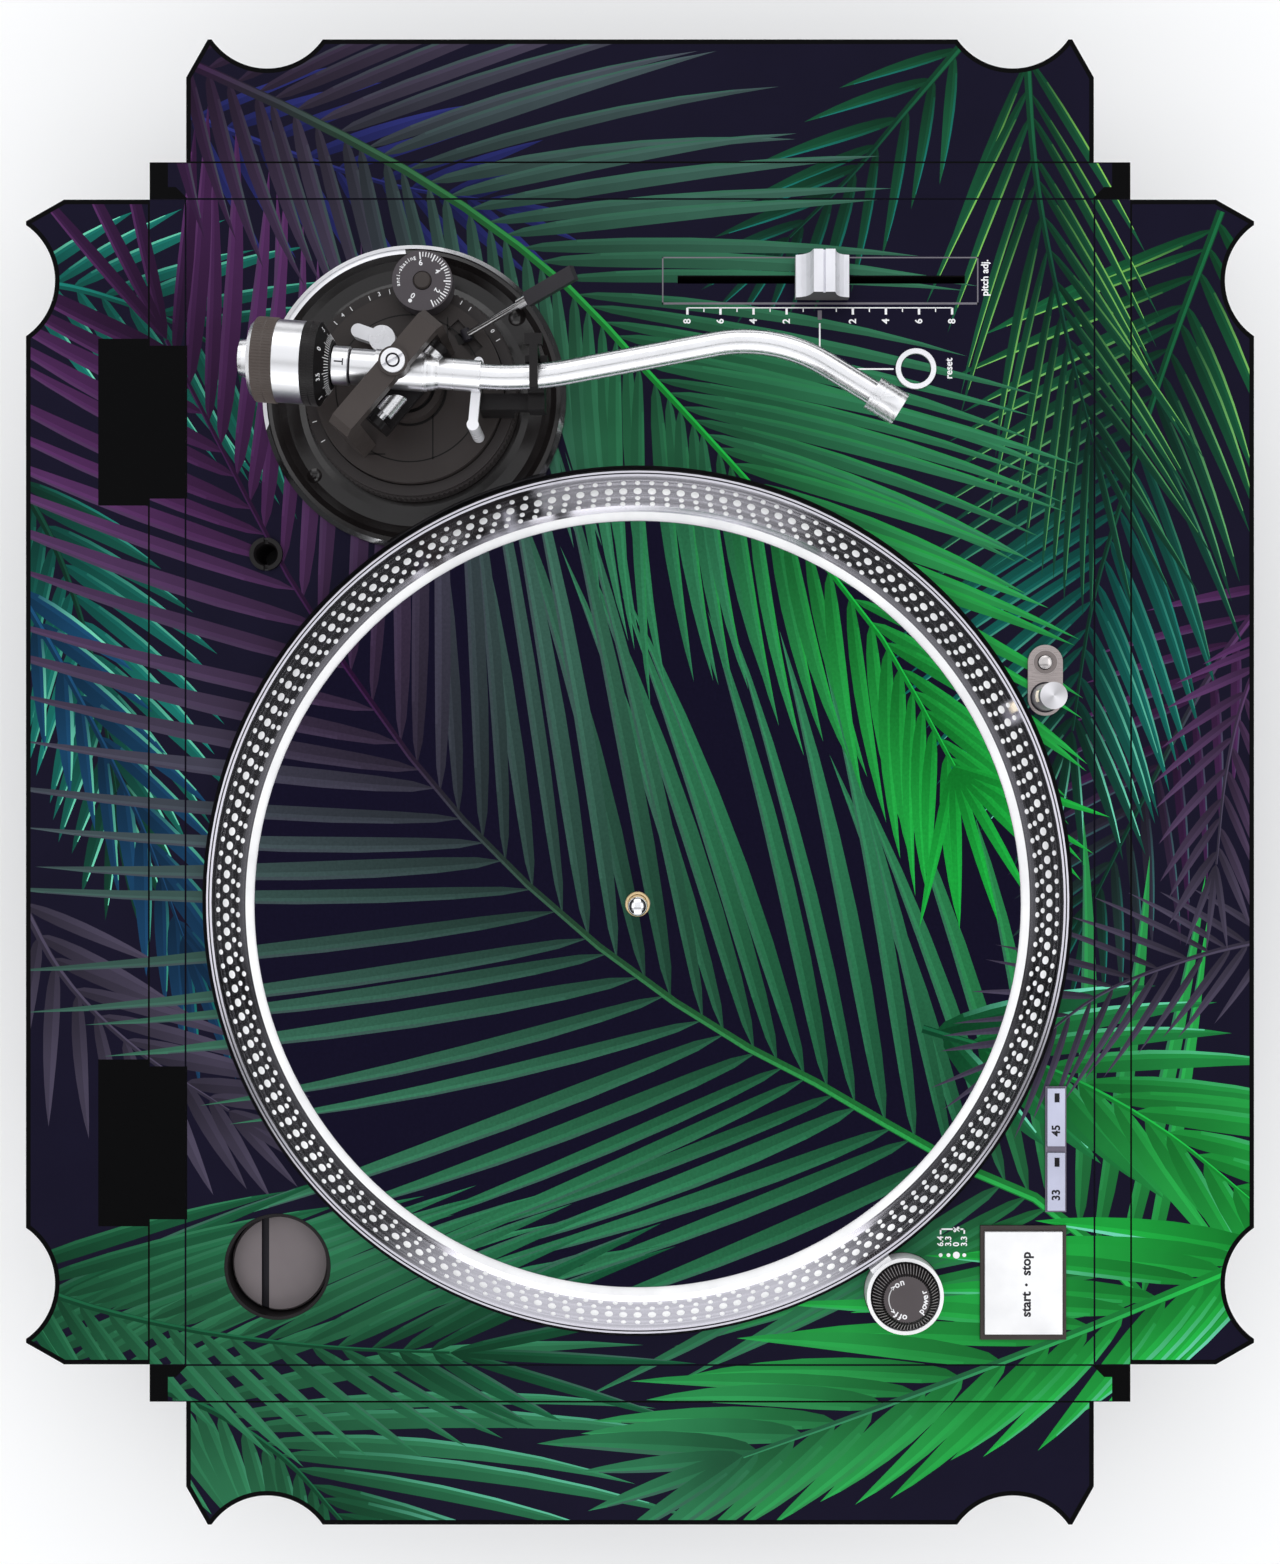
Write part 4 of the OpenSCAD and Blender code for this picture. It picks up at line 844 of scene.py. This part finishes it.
def sheet_mesh(name, outline, holes, z0, z1, zoom=1.0):
    """A closed sheet whose top carries the print, and whose colours are in its "print" attribute."""
    outline = np.array(outline, float)
    lo, hi = outline.min(0) - 1, outline.max(0) + 1
    inks = [(p * zoom, a * zoom, b * zoom, c) for p, a, b, c in PRINT]
    inks = [k for k in inks if (k[0].max(0) > lo).all() and (k[0].min(0) < hi).all()]
    verts, faces = [], []
    for pts in [k[0] for k in inks] + [outline] + [np.array(h, float) for h in holes]:
        x, y = pts[:, 0], pts[:, 1]
        if np.dot(x, np.roll(y, -1)) < np.dot(y, np.roll(x, -1)):
            pts = pts[::-1]
        faces.append(list(range(len(verts), len(verts) + len(pts))))
        verts += [Vector(p) for p in pts]
    edge_id, hole_ids = len(inks), set(range(len(inks) + 1, len(faces)))
    out_v, _, out_f, _, _, ids = geometry.delaunay_2d_cdt(verts, [], faces, 1, 1e-4, True)
    kept, tops = [], []
    for tri, owners in zip(out_f, ids):
        if edge_id in owners and not hole_ids.intersection(owners):
            kept.append(tuple(tri))
            tops.append(max((i for i in owners if i < edge_id), default=-1))
    used = sorted({v for tri in kept for v in tri})
    number = {v: i for i, v in enumerate(used)}
    kept = [tuple(number[v] for v in tri) for tri in kept]
    flat = np.array([out_v[v] for v in used])
    directed = {(t[i], t[(i + 1) % 3]) for t in kept for i in range(3)}
    rim = [(a, b) for a, b in directed if (b, a) not in directed]
    loops = sorted(loops_of(rim), key=len)
    under_v, under_f = [], []
    for loop in loops:
        under_f.append(list(range(len(under_v), len(under_v) + len(loop))))
        under_v += [(v, Vector(flat[v])) for v in loop]

    def area(loop):
        pts = flat[loop]
        return np.dot(pts[:, 0], np.roll(pts[:, 1], -1)) - np.dot(pts[:, 1], np.roll(pts[:, 0], -1))

    outer = max(range(len(loops)), key=lambda i: area(loops[i]))
    rings = [f if i == outer else f[::-1] for i, f in enumerate(under_f)]
    _, _, low_f, origin, _, low_ids = geometry.delaunay_2d_cdt(
        [p for _, p in under_v], [], rings, 1, 1e-6, True)
    count = len(flat)
    back = {i: count + under_v[o[0]][0] for i, o in enumerate(origin) if o}
    bottoms = [tuple(back[v] for v in reversed(tri)) for tri, owners in zip(low_f, low_ids)
               if set(owners) == {outer} and all(v in back for v in tri)]
    walls = [(b, a, a + count, b + count) for a, b in rim]
    points = [(x * MM, y * MM, z1) for x, y in flat] + [(x * MM, y * MM, z0) for x, y in flat]
    mesh = bpy.data.meshes.new(name)
    mesh.from_pydata(points, [], kept + bottoms + walls)
    colours = np.tile(np.array([*NIGHT, 1.0], np.float32), (len(mesh.loops), 1))
    corner = np.array(kept).ravel()
    top = np.repeat(np.array(tops), 3)
    xy = flat[corner]
    inked = top >= 0
    root = np.array([k[1] for k in inks])[top[inked]]
    tip = np.array([k[2] for k in inks])[top[inked]]
    tones = np.array([k[3] for k in inks])[top[inked]]
    chord = tip - root
    t = ((xy[inked] - root) * chord).sum(1) / np.maximum((chord ** 2).sum(1), 1e-9)
    t = np.clip(t * 1.35, 0, 1)
    t = (t * t * (3 - 2 * t))[:, None]
    colours[:len(corner)][inked, :3] = tones[:, 0] * (1 - t) + tones[:, 1] * t
    layer = mesh.color_attributes.new("print", "FLOAT_COLOR", "CORNER")
    layer.data.foreach_set("color", colours.ravel())
    bm = bmesh.new()
    bm.from_mesh(mesh)
    loose = [v for v in bm.verts if not v.link_faces]
    bmesh.ops.delete(bm, geom=loose, context="VERTS")
    bm.to_mesh(mesh)
    bm.free()
    return mesh


def make_sheets():
    draw_fronds()
    draw_marks()
    deck = rectangle(SKIN_LO, SKIN_HI)
    top = sheet_mesh("skin_top_print", deck, skin_holes(), DECK_Z, SKIN_Z)
    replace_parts(piece("skin_top_print", top, VINYL, "deck"), "skin_top")
    for flap in FLAPS:
        name = flap.node + "_print"
        side = sheet_mesh(name, flap.outline(), [], DECK_Z, SKIN_Z)
        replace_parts(piece(name, side, VINYL, flap.node), flap.node)
    raised = 1 - (MAT_HI.z - DECK_Z) / CAMERA_UP
    mat = piece("slipmat_felt",
                sheet_mesh("slipmat_felt", circle(PLATTER, MAT_R, 240), [circle(PLATTER, 4.8 * MM, 48)],
                           MAT_LO.z, MAT_HI.z, zoom=raised), FELT, "slipmat")
    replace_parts(mat, "slipmat")
    cap_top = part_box("reset_button")[1].z
    cap = sheet_mesh("reset_button_print", circle(RESET, 5.6 * MM, 60), [],
                     cap_top - 0.1 * MM, cap_top + 0.02 * MM)
    piece("reset_button_print", cap, VINYL, "reset_button")


# ---- platter ----
def make_platter_details():
    # Painted highlight: the strobe dots are polished metal, but they are painted plain white, not metal, so
    # they look lit all round.
    metal = painted("dot_painted_highlight", srgb(246, 246, 248), rough=0.3)
    slope_in, slope_out = (151.3, 17.1), (163.9, 8.5)
    tilt = math.atan2(slope_in[1] - slope_out[1], slope_out[0] - slope_in[0])
    bm = bmesh.new()
    for count, radius, size in ((169, 151.9, 2.1), (174, 154.3, 2.1), (180, 157.3, 3.3), (186, 160.8, 2.1)):
        share = (radius - slope_in[0]) / (slope_out[0] - slope_in[0])
        height = slope_in[1] + (slope_out[1] - slope_in[1]) * share
        for i in range(count):
            spin = Matrix.Rotation(2 * math.pi * i / count, 4, "Z")
            lean = Matrix.Rotation(tilt, 4, "Y")
            spot = Matrix.Translation(mm(radius, 0, height))
            matrix = Matrix.Translation((PLATTER.x, PLATTER.y, DECK_Z)) @ spin @ spot @ lean
            r = size / 2 * MM
            lathe(bm, [mm(0, -0.3), (r, -0.3 * MM), (r * 0.96, 0.1 * MM), (r * 0.75, 0.22 * MM),
                       mm(0, 0.26)], matrix, 14)
    solid("strobe_dots", bm, metal, "platter", sharp=50)
    bm = bmesh.new()
    at = Matrix.Translation((PLATTER.x, PLATTER.y, 0))
    ring_solid(bm, 3.65 * MM, 4.7 * MM, MAT_LO.z - 1 * MM, MAT_HI.z + 0.3 * MM, at, 0.2 * MM, 64)
    washer = turned("washer_brass", srgb(236, 208, 160), PLATTER, UP, rough=0.3, metallic=0.6)
    solid("spindle_washer", bm, washer, "platter")
    # Painted reflection: the platter's polished metal top ring is painted plain white, as its glare looks.
    white = moulded("rim_painted_highlight", srgb(248, 248, 250), rough=0.3, strength=0.03)
    bm = bmesh.new()
    ring_solid(bm, MAT_R + 0.35 * MM, 148.6 * MM, RIM_TOP - 0.4 * MM, RIM_TOP + 0.06 * MM, at, 0.05 * MM, 240)
    solid("platter_top_ring", bm, white, "platter")
    bm = bmesh.new()
    ring_solid(bm, 164.7 * MM, 165.2 * MM, DECK_Z + 7.9 * MM, DECK_Z + 8.42 * MM, at, 0, 240)
    solid("platter_lip_line", bm, DARK_INK, "platter")


# ---- words, digits and ticks ----
def ticks_round(bm, middle, z, r_in, r_out, angles, width=0.35 * MM):
    for a in angles:
        matrix = flat_at(middle.x, middle.y, z, a)
        bar(bm, (r_in, -width / 2, 0), (r_out, width / 2, INK_T), matrix)


def deck_marks():
    """The pitch scale, the fader's frame line, and the strobe table, printed white on the skin."""
    z = SKIN_Z + 0.005 * MM
    bm = bmesh.new()
    zero = FADER.y + 0.6 * MM
    major = 12.87 * MM
    scale_x = 184.4 * MM
    bar(bm, (scale_x - 0.2 * MM, zero - 4 * major, z), (scale_x + 0.2 * MM, zero + 4 * major, z + INK_T))
    for k in range(-8, 9):
        long = 2.6 * MM if k % 2 == 0 else 1.6 * MM
        wide = 0.9 * MM if k % 2 == 0 else 0.4 * MM
        if k:
            y = zero + k * major / 2
            bar(bm, (scale_x - long, y - wide / 2, z), (scale_x, y + wide / 2, z + INK_T))
        if k % 2 == 0 and k:
            letters(bm, str(abs(k)), 3.9 * MM, flat_at(scale_x - 5.2 * MM, zero + k * major / 2, z))
    line = 0.3 * MM
    ring_y = RESET.y + 8.6 * MM
    bar(bm, (RESET.x - line, ring_y, z), (RESET.x + line, zero - 4 * MM, z + INK_T))
    bar(bm, (RESET.x + 7 * MM, zero - line, z), (scale_x - 6 * MM, zero + line, z + INK_T))
    letters(bm, "pitch adj.", 3.9 * MM, flat_at(196.1 * MM, -134.2 * MM, z))
    letters(bm, "reset", 3.9 * MM, flat_at(RESET.x + 0.2 * MM, -120.2 * MM, z))
    for k, (word, dot) in enumerate((("6.4", 0.75), ("3.3", 0.75), ("0", 1.35), ("3.3", 0.75))):
        y = (-116.9 - 3.07 * k) * MM
        letters(bm, word, 3.3 * MM, flat_at(-180.6 * MM, y, z), align="LEFT")
        flat_dot(bm, dot, flat_at(-184.0 * MM, y, z), 20)
    letters(bm, "%", 3.2 * MM, flat_at(-174.0 * MM, -123.2 * MM, z))
    for low, high in (((-174.2, -121.6), (-173.6, -116.6)), ((-175.9, -117.2), (-173.6, -116.6)),
                      ((-174.2, -126.4), (-173.6, -124.6)), ((-175.7, -126.4), (-173.6, -125.8))):
        bar(bm, (low[0] * MM, low[1] * MM, z), (high[0] * MM, high[1] * MM, z + INK_T))
    solid("deck_lettering", bm, WHITE_INK, "deck")
    bm = bmesh.new()
    x0, x1, y0, y1 = 185.7 * MM, 204.2 * MM, -131.6 * MM, -8.6 * MM
    w = 0.5 * MM
    for low, high in (((x0, y0), (x1, y0 + w)), ((x0, y1 - w), (x1, y1)), ((x0, y0), (x0 + w * 1.6, y1)),
                      ((x1 - w, y0), (x1, y1))):
        bar(bm, (*low, z), (*high, z + 0.025 * MM))
    bar(bm, (scale_x - 4.6 * MM, zero - 0.8 * MM, z), (scale_x - 1 * MM, zero + 0.8 * MM, z + INK_T))
    grey = moulded("grey_ink", srgb(112, 108, 116), rough=0.5, strength=0.05)
    solid("fader_frame_line", bm, grey, "deck")


def key_marks():
    bm = bmesh.new()
    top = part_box("start_stop_key")[1].z
    letters(bm, "start", 5.2 * MM, flat_at(START.x - 8.2 * MM, START.y - 1.0 * MM, top), bold=0.03)
    letters(bm, "stop", 5.2 * MM, flat_at(START.x + 7.6 * MM, START.y - 1.0 * MM, top), bold=0.03)
    flat_dot(bm, 0.55, flat_at(START.x - 0.6 * MM, START.y - 1.0 * MM, top), 16)
    solid("start_stop_lettering", bm, DARK_INK, "start_stop_key")
    for node, digits in (("key_33", "33"), ("key_45", "45")):
        key, top = centre(node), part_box(node)[1].z
        bm = bmesh.new()
        letters(bm, digits, 4.4 * MM, flat_at(key.x - 5.1 * MM, key.y, top), bold=0.03)
        solid(node + "_digits", bm, DARK_INK, node)
        bm = bmesh.new()
        soft_bar(bm, (key.x + 5.9 * MM, key.y - 1.2 * MM, top - 0.6 * MM),
                 (key.x + 9.3 * MM, key.y + 0.6 * MM, top - 0.1 * MM), 0.12 * MM, 2)
        solid(node + "_window", bm, DARK_GLASS, node)


def along_circle(bm, text, middle, z, radius, mid_angle, size, spacing, outward=True):
    """Characters round a circle, reading clockwise if outward, and otherwise the other way."""
    step = math.degrees(spacing / radius)
    sign = -1 if outward else 1
    for i, char in enumerate(text):
        a = mid_angle + sign * (i - (len(text) - 1) / 2) * step
        letters(bm, char, size, round_at(middle, radius, a, z, a - 90 if outward else a + 90))


def knob_marks():
    z = KNOB.z
    bm = bmesh.new()
    along_circle(bm, "on", KNOB, z, 6.8 * MM, 25, 3.5 * MM, 2.2 * MM)
    along_circle(bm, "off", KNOB, z, 7.0 * MM, 159, 3.5 * MM, 1.7 * MM)
    along_circle(bm, "power", KNOB, z, 7.1 * MM, -98, 3.3 * MM, 1.9 * MM, outward=False)
    arc = 6.9 * MM
    for a in range(52, 130, 3):
        at = round_at(KNOB, arc, a, z, a + 90)
        bar(bm, mm(-0.24, -0.2, 0), mm(0.24, 0.2, 0.03), at)
    for a, way in ((46, -1), (135, 1)):
        at = round_at(KNOB, arc, a, z, a + 90)
        tip, left, right = [bm.verts.new(at @ Vector((x * MM * way, y * MM, INK_T)))
                            for x, y in ((0.7, 0), (-1.1, 0.75), (-1.1, -0.75))]
        bm.faces.new((tip, left, right))
    solid("power_knob_lettering", bm, WHITE_INK, "power_knob")
    bm = bmesh.new()
    low, high = Vector((12.9, 0, -4)) * MM, Vector((9.7, 0, 0)) * MM
    slope = high - low
    for i in range(60):
        spin = flat_at(KNOB.x, KNOB.y, z, 6 * i + 3)
        bar(bm, mm(0.5, -0.12, -0.1), (slope.length - 0.2 * MM, 0.12 * MM, 0.07 * MM),
            spin @ frame_matrix(low, slope, (0, -1, 0)))
    # Painted highlight: the ribs are painted much lighter than the knob, as if light caught the ridges.
    ribs = moulded("knob_rib_painted_highlight", srgb(148, 143, 143), rough=0.35)
    solid("power_knob_ribs", bm, ribs, "power_knob")


def dial_marks():
    """Digits and ticks on the anti-skating dial and on the height ring."""
    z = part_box("antiskate_dial")[1].z
    bm = bmesh.new()
    step = 6.44
    for k in range(26):
        r_in, wide = (8.0, 0.5) if k % 5 == 0 else (8.9, 0.34)
        ticks_round(bm, DIAL, z, r_in * MM, 10.7 * MM, [5 - k * step], wide * MM)
    for digit, a in (("6", 5), ("4", -59), ("2", -124), ("0", 148.5)):
        along_circle(bm, digit, DIAL, z, 6.6 * MM, a, 2.9 * MM, 1 * MM)
    spot = round_at(DIAL, 8.8 * MM, 149, z)
    flat_dot(bm, 0.75, spot, 16)
    along_circle(bm, "anti-skating", DIAL, z, 9.1 * MM, 60, 2.0 * MM, 1.18 * MM)
    solid("antiskate_digits", bm, WHITE_INK, "antiskate_dial")
    bm = bmesh.new()
    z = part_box("height_ring")[1].z
    ticks_round(bm, PIVOT, z, 37.6 * MM, 39.4 * MM, range(-60, 130, 12), 0.3 * MM)
    for k in range(7):
        along_circle(bm, str(k), PIVOT, z, 38.6 * MM, -54 + 24 * k, 2.2 * MM, 1 * MM)
    solid("height_digits", bm, WHITE_INK, "height_ring")
    cap = bmesh.new()
    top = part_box("antiskate_dial")[1].z
    at = Matrix.Translation((DIAL.x, DIAL.y, 0))
    lathe(cap, [(0, top - 1.2 * MM), (3.3 * MM, top - 1.2 * MM), (3.3 * MM, top + 0.2 * MM),
                (2.8 * MM, top + 0.7 * MM), (0, top + 0.8 * MM)], at, 40)
    solid("antiskate_cap", cap, GRAPHITE, "antiskate_dial")


def weight_frame(distance):
    """Local axes on the arm's line, distance behind the pivot, with local Z along the arm."""
    origin = Vector((PIVOT.x, PIVOT.y, ARM_Z)) + ARM_BACK * distance
    return frame_matrix(origin, (0, 0, 1), Vector(ARM_BACK).cross((0, 0, 1)))


def ridge_ring(name, count, radius, y0, y1, depth, material, body):
    """Fine ridges round the arm's line between two distances behind the pivot."""
    bm = bmesh.new()
    base = weight_frame(0)
    half = math.pi / count * 0.55
    sunk = radius - 0.2 * MM
    for i in range(count):
        a = 2 * math.pi * i / count
        corners = []
        for y in (y0, y1):
            for angle, r in ((a - half, sunk), (a, radius + depth), (a + half, sunk)):
                spot = Vector((r * math.cos(angle), r * math.sin(angle), 0)) + Vector((0, 0, y))
                corners.append(bm.verts.new(base @ spot))
        a0, b0, c0, a1, b1, c1 = corners
        for face in ((a0, b0, b1, a1), (b0, c0, c1, b1), (c0, a0, a1, c1), (a0, c0, b0), (a1, b1, c1)):
            bm.faces.new(face)
    solid(name, bm, material, body, sharp=20)


def make_weight_details():
    lo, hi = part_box("force_dial")
    radius = (hi.z - lo.z) / 2
    knurl = moulded("knurl_dark", srgb(92, 83, 79), rough=0.42)
    middle = (KNURL[0] + KNURL[1]) / 2
    for name, y0, y1 in (("weight_knurl_a", KNURL[0] + 0.3 * MM, middle - 0.25 * MM),
                         ("weight_knurl_b", middle + 0.25 * MM, KNURL[1] - 0.3 * MM)):
        ridge_ring(name, 84, radius - 0.05 * MM, y0, y1, 0.3 * MM, knurl, "counterweight")
    grip = moulded("grip_dark", srgb(48, 45, 46), rough=0.42)
    middle = (GRIP[0] + GRIP[1]) / 2
    for name, y0, y1 in (("dial_grip_a", GRIP[0], middle - 0.2 * MM),
                         ("dial_grip_b", middle + 0.2 * MM, GRIP[1])):
        ridge_ring(name, 96, radius - 0.05 * MM, y0, y1, 0.25 * MM, grip, "force_dial")
    bm = bmesh.new()
    front, rise = 8.6 * MM, radius - 8.9 * MM
    slope = Vector((rise, 0, CONE)).normalized()

    def on_cone(angle, r):
        local = frame_matrix((r, 0, (r - front) * CONE / rise), (0, 1, 0), slope)
        return weight_frame(WEIGHT_FRONT) @ Matrix.Rotation(math.radians(angle), 4, "Z") @ local

    for k in range(60):
        long = 3.4 if k % 5 == 0 else 2.6
        bar(bm, mm(-0.12, 0.5, 0.01), mm(0.12, long, 0.05), on_cone(6 * k, front))
    for k, force in enumerate(("0", ".5", "1", "1.5", "2", "2.5", "3", "3.5")):
        letters(bm, force, 2.5 * MM, on_cone(45 * k + 12, 12.9 * MM))
    solid("force_dial_scale", bm, WHITE_INK, "force_dial")


def make_arm_details():
    arm = frame_matrix((PIVOT.x, PIVOT.y, ARM_Z), ARM_BACK, (0, 0, 1))
    bm = bmesh.new()
    turned_z = arm @ Matrix.Rotation(math.radians(90), 4, "Y")
    for start, end, r in ((-20.6, -19.8, 5.7), (-30.0, -29.2, 5.72), (-9.9, -9.1, 7.08)):
        lathe(bm, [(r * MM - 0.8 * MM, start * MM), (r * MM, start * MM + 0.15 * MM),
                   (r * MM, end * MM - 0.15 * MM), (r * MM - 0.8 * MM, end * MM)], turned_z, 64)
    solid("arm_collars", bm, ALLOY, "tonearm")
    bm = bmesh.new()
    on_shaft = (weight_frame(20.6 * MM) @ Matrix.Translation(mm(7, 0, 0))
                @ Matrix.Rotation(math.radians(90), 4, "Y") @ Matrix.Rotation(math.radians(90), 4, "Z"))
    bar(bm, mm(-0.25, -1.2, 0), mm(0.25, 1.8, 0.1), on_shaft)
    bar(bm, mm(-1.2, -1.5, -0.1), mm(1.2, -1.1, 0.1), on_shaft)
    lathe(bm, [mm(5.5, 16.85), mm(6.1, 16.9), mm(6.1, 17.7), mm(5.5, 17.75)], turned_z, 64)
    solid("weight_index", bm, DARK_INK, "tonearm")
    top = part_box("pivot_screw")[1].z
    bm = bmesh.new()
    at = Matrix.Translation((PIVOT.x, PIVOT.y, 0))
    ring_solid(bm, 1.9 * MM, 2.5 * MM, top - 0.4 * MM, top + 0.02 * MM, at, 0, 40)
    solid("pivot_screw_ring", bm, DARK_INK, "arm_base")


def make_turret_details():
    """Joints between the mouldings on the turret's top, and the recess round the arm's pedestal."""
    top = TURRET_Z
    seam = moulded("turret_seam", srgb(16, 14, 14), rough=0.5)
    at = Matrix.Translation((PIVOT.x, PIVOT.y, 0))
    bm = bmesh.new()
    for r_in, r_out, lift in ((9.6, 10.9, 6.6), (13.35, 14.4, 0), (27.6, 28.1, 0)):
        ring_solid(bm, r_in * MM, r_out * MM, top + (lift - 0.2) * MM, top + (lift + 0.04) * MM, at, 0, 96)
    for x0, y0, x1, y1 in ((13, -14.8, 27, -14.3), (-27, -9.2, -9, -8.7), (-25.2, 9, -24.7, 18)):
        bar(bm, (x0 * MM, y0 * MM, top - 0.2 * MM), (x1 * MM, y1 * MM, top + 0.04 * MM), at)
    pin = joint_spot("cue_lever_turn")
    bar(bm, mm(-4.2, -2.1, 0), mm(2.6, 2.1, 0.24), flat_at(pin.x, pin.y, top - 0.2 * MM, -69))
    solid("turret_seams", bm, seam, "arm_base")


def make_lamp_details():
    lamp, top = centre("lamp_head"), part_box("lamp_head")[1].z
    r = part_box("lamp_head")[1].x - lamp.x
    bm = bmesh.new()
    soft_bar(bm, (lamp.x - 2.1 * MM, lamp.y + r - 2.7 * MM, top - 8.3 * MM),
             (lamp.x + 2.1 * MM, lamp.y + r - 1.6 * MM, top - 3.7 * MM), 0.25 * MM, 3)
    solid("lamp_lens", bm, LAMP_GLOW, "lamp_head")
    plate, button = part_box("lamp_plate")[1].z, centre("lamp_button")
    at_button = Matrix.Translation((button.x, button.y, 0))
    # Painted shade: a flat ring round the lamp's button, flush with the plate and painted darker than it,
    # standing in for a dimple.
    bm = bmesh.new()
    ring_solid(bm, 3.1 * MM, 4.5 * MM, plate - 0.2 * MM, plate + 0.03 * MM, at_button, 0, 48)
    dish = turned("lamp_dish_painted_shade", srgb(126, 117, 115), button, UP, rough=0.3, metallic=0.4)
    solid("lamp_button_dish_shade", bm, dish, "deck")
    # Painted highlight: a thin raised rim round the dimple, painted lighter than the plate.
    bm = bmesh.new()
    ring_solid(bm, 4.5 * MM, 4.8 * MM, plate - 0.2 * MM, plate + 0.12 * MM, at_button, 0.06 * MM, 48)
    rim = turned("lamp_rim_painted_highlight", srgb(184, 176, 174), button, UP, rough=0.3, metallic=0.4)
    solid("lamp_button_rim", bm, rim, "deck")
    # Painted shade: a dark ring flush on the plate round the lamp head, where the gap round it lies in
    # shadow.
    bm = bmesh.new()
    ring_solid(bm, r + 0.1 * MM, r + 0.75 * MM, plate - 0.2 * MM, plate + 0.04 * MM,
               Matrix.Translation((lamp.x, lamp.y, 0)), 0, 48)
    solid("lamp_hole_painted_shade", bm, DARK_INK, "deck")


# ---- floor and light ----
def make_stage():
    mesh = bpy.data.meshes.new("floor")
    size = 60.0
    corners = [(-size, -size, 0), (size, -size, 0), (size, size, 0), (-size, size, 0)]
    mesh.from_pydata(corners, [], [(0, 1, 2, 3)])
    floor = bpy.data.objects.new("floor", mesh)
    SCENE.collection.objects.link(floor)
    m = Nodes("floor_paper", (0.97, 0.97, 0.97), rough=0.9, specular=0.1)
    m.tint(m.noise(3, 2), 0.995, 1.0)
    mesh.materials.append(m.mat)


def area_light(name, at, aim, size, power, colour=(1, 1, 1)):
    data = bpy.data.lights.new(name, "AREA")
    data.shape = "RECTANGLE"
    data.size, data.size_y = size
    data.energy = power
    data.color = colour
    obj = bpy.data.objects.new(name, data)
    obj.location = at
    obj.rotation_euler = (Vector(aim) - Vector(at)).to_track_quat("-Z", "Y").to_euler()
    SCENE.collection.objects.link(obj)


def make_light():
    """A studio dome: bright overhead, with soft panels to both sides and dark ends."""
    world = bpy.data.worlds.new("studio")
    world.use_nodes = True
    tree = world.node_tree
    background = tree.nodes["Background"]

    def math_node(operation, first, second):
        node = tree.nodes.new("ShaderNodeMath")
        node.operation = operation
        for socket, value in zip(node.inputs, (first, second)):
            if isinstance(value, float):
                socket.default_value = value
            else:
                tree.links.new(value, socket)
        return node.outputs[0]

    def smooth(value, low, high, out_low, out_high):
        node = tree.nodes.new("ShaderNodeMapRange")
        node.interpolation_type = "SMOOTHSTEP"
        tree.links.new(value, node.inputs["Value"])
        set_range(node, low, high, out_low, out_high)
        return node.outputs["Result"]

    where = tree.nodes.new("ShaderNodeTexCoord").outputs["Generated"]
    split = tree.nodes.new("ShaderNodeSeparateXYZ")
    tree.links.new(where, split.inputs[0])
    x, height = split.outputs["X"], split.outputs["Z"]
    horizon = math_node("ADD", smooth(x, -0.95, -0.8, 0.85, 0.03), smooth(x, 0.85, 0.97, 0.0, 0.3))
    overhead = smooth(height, 0.3, 0.75, 0.0, 1.04)
    off_rod = math_node("ABSOLUTE", math_node("ADD", x, 0.27), 0.0)
    rod = math_node("SUBTRACT", 1.0, smooth(off_rod, 0.04, 0.1, 0.75, 0.0))
    glow = math_node("MULTIPLY", math_node("MAXIMUM", horizon, overhead), rod)
    tree.links.new(glow, background.inputs["Strength"])
    background.inputs["Color"].default_value = (0.97, 0.98, 1.0, 1)
    SCENE.world = world
    target = (0, 0, 0.1)
    area_light("key_right", (1.9, 0.1, 1.25), target, (2.4, 1.2), 14)
    area_light("key_left", (-1.9, -0.1, 1.25), target, (2.4, 1.2), 16)
    area_light("front", (0.2, -2.0, 2.2), target, (2.4, 1.0), 7)
    area_light("back", (0.2, 2.0, 2.2), target, (2.4, 1.0), 7)
    SCENE.view_settings.view_transform = "Standard"


dress_nodes()
make_sheets()
make_platter_details()
deck_marks()
key_marks()
knob_marks()
dial_marks()
make_weight_details()
make_arm_details()
make_turret_details()
make_lamp_details()
make_stage()
make_light()
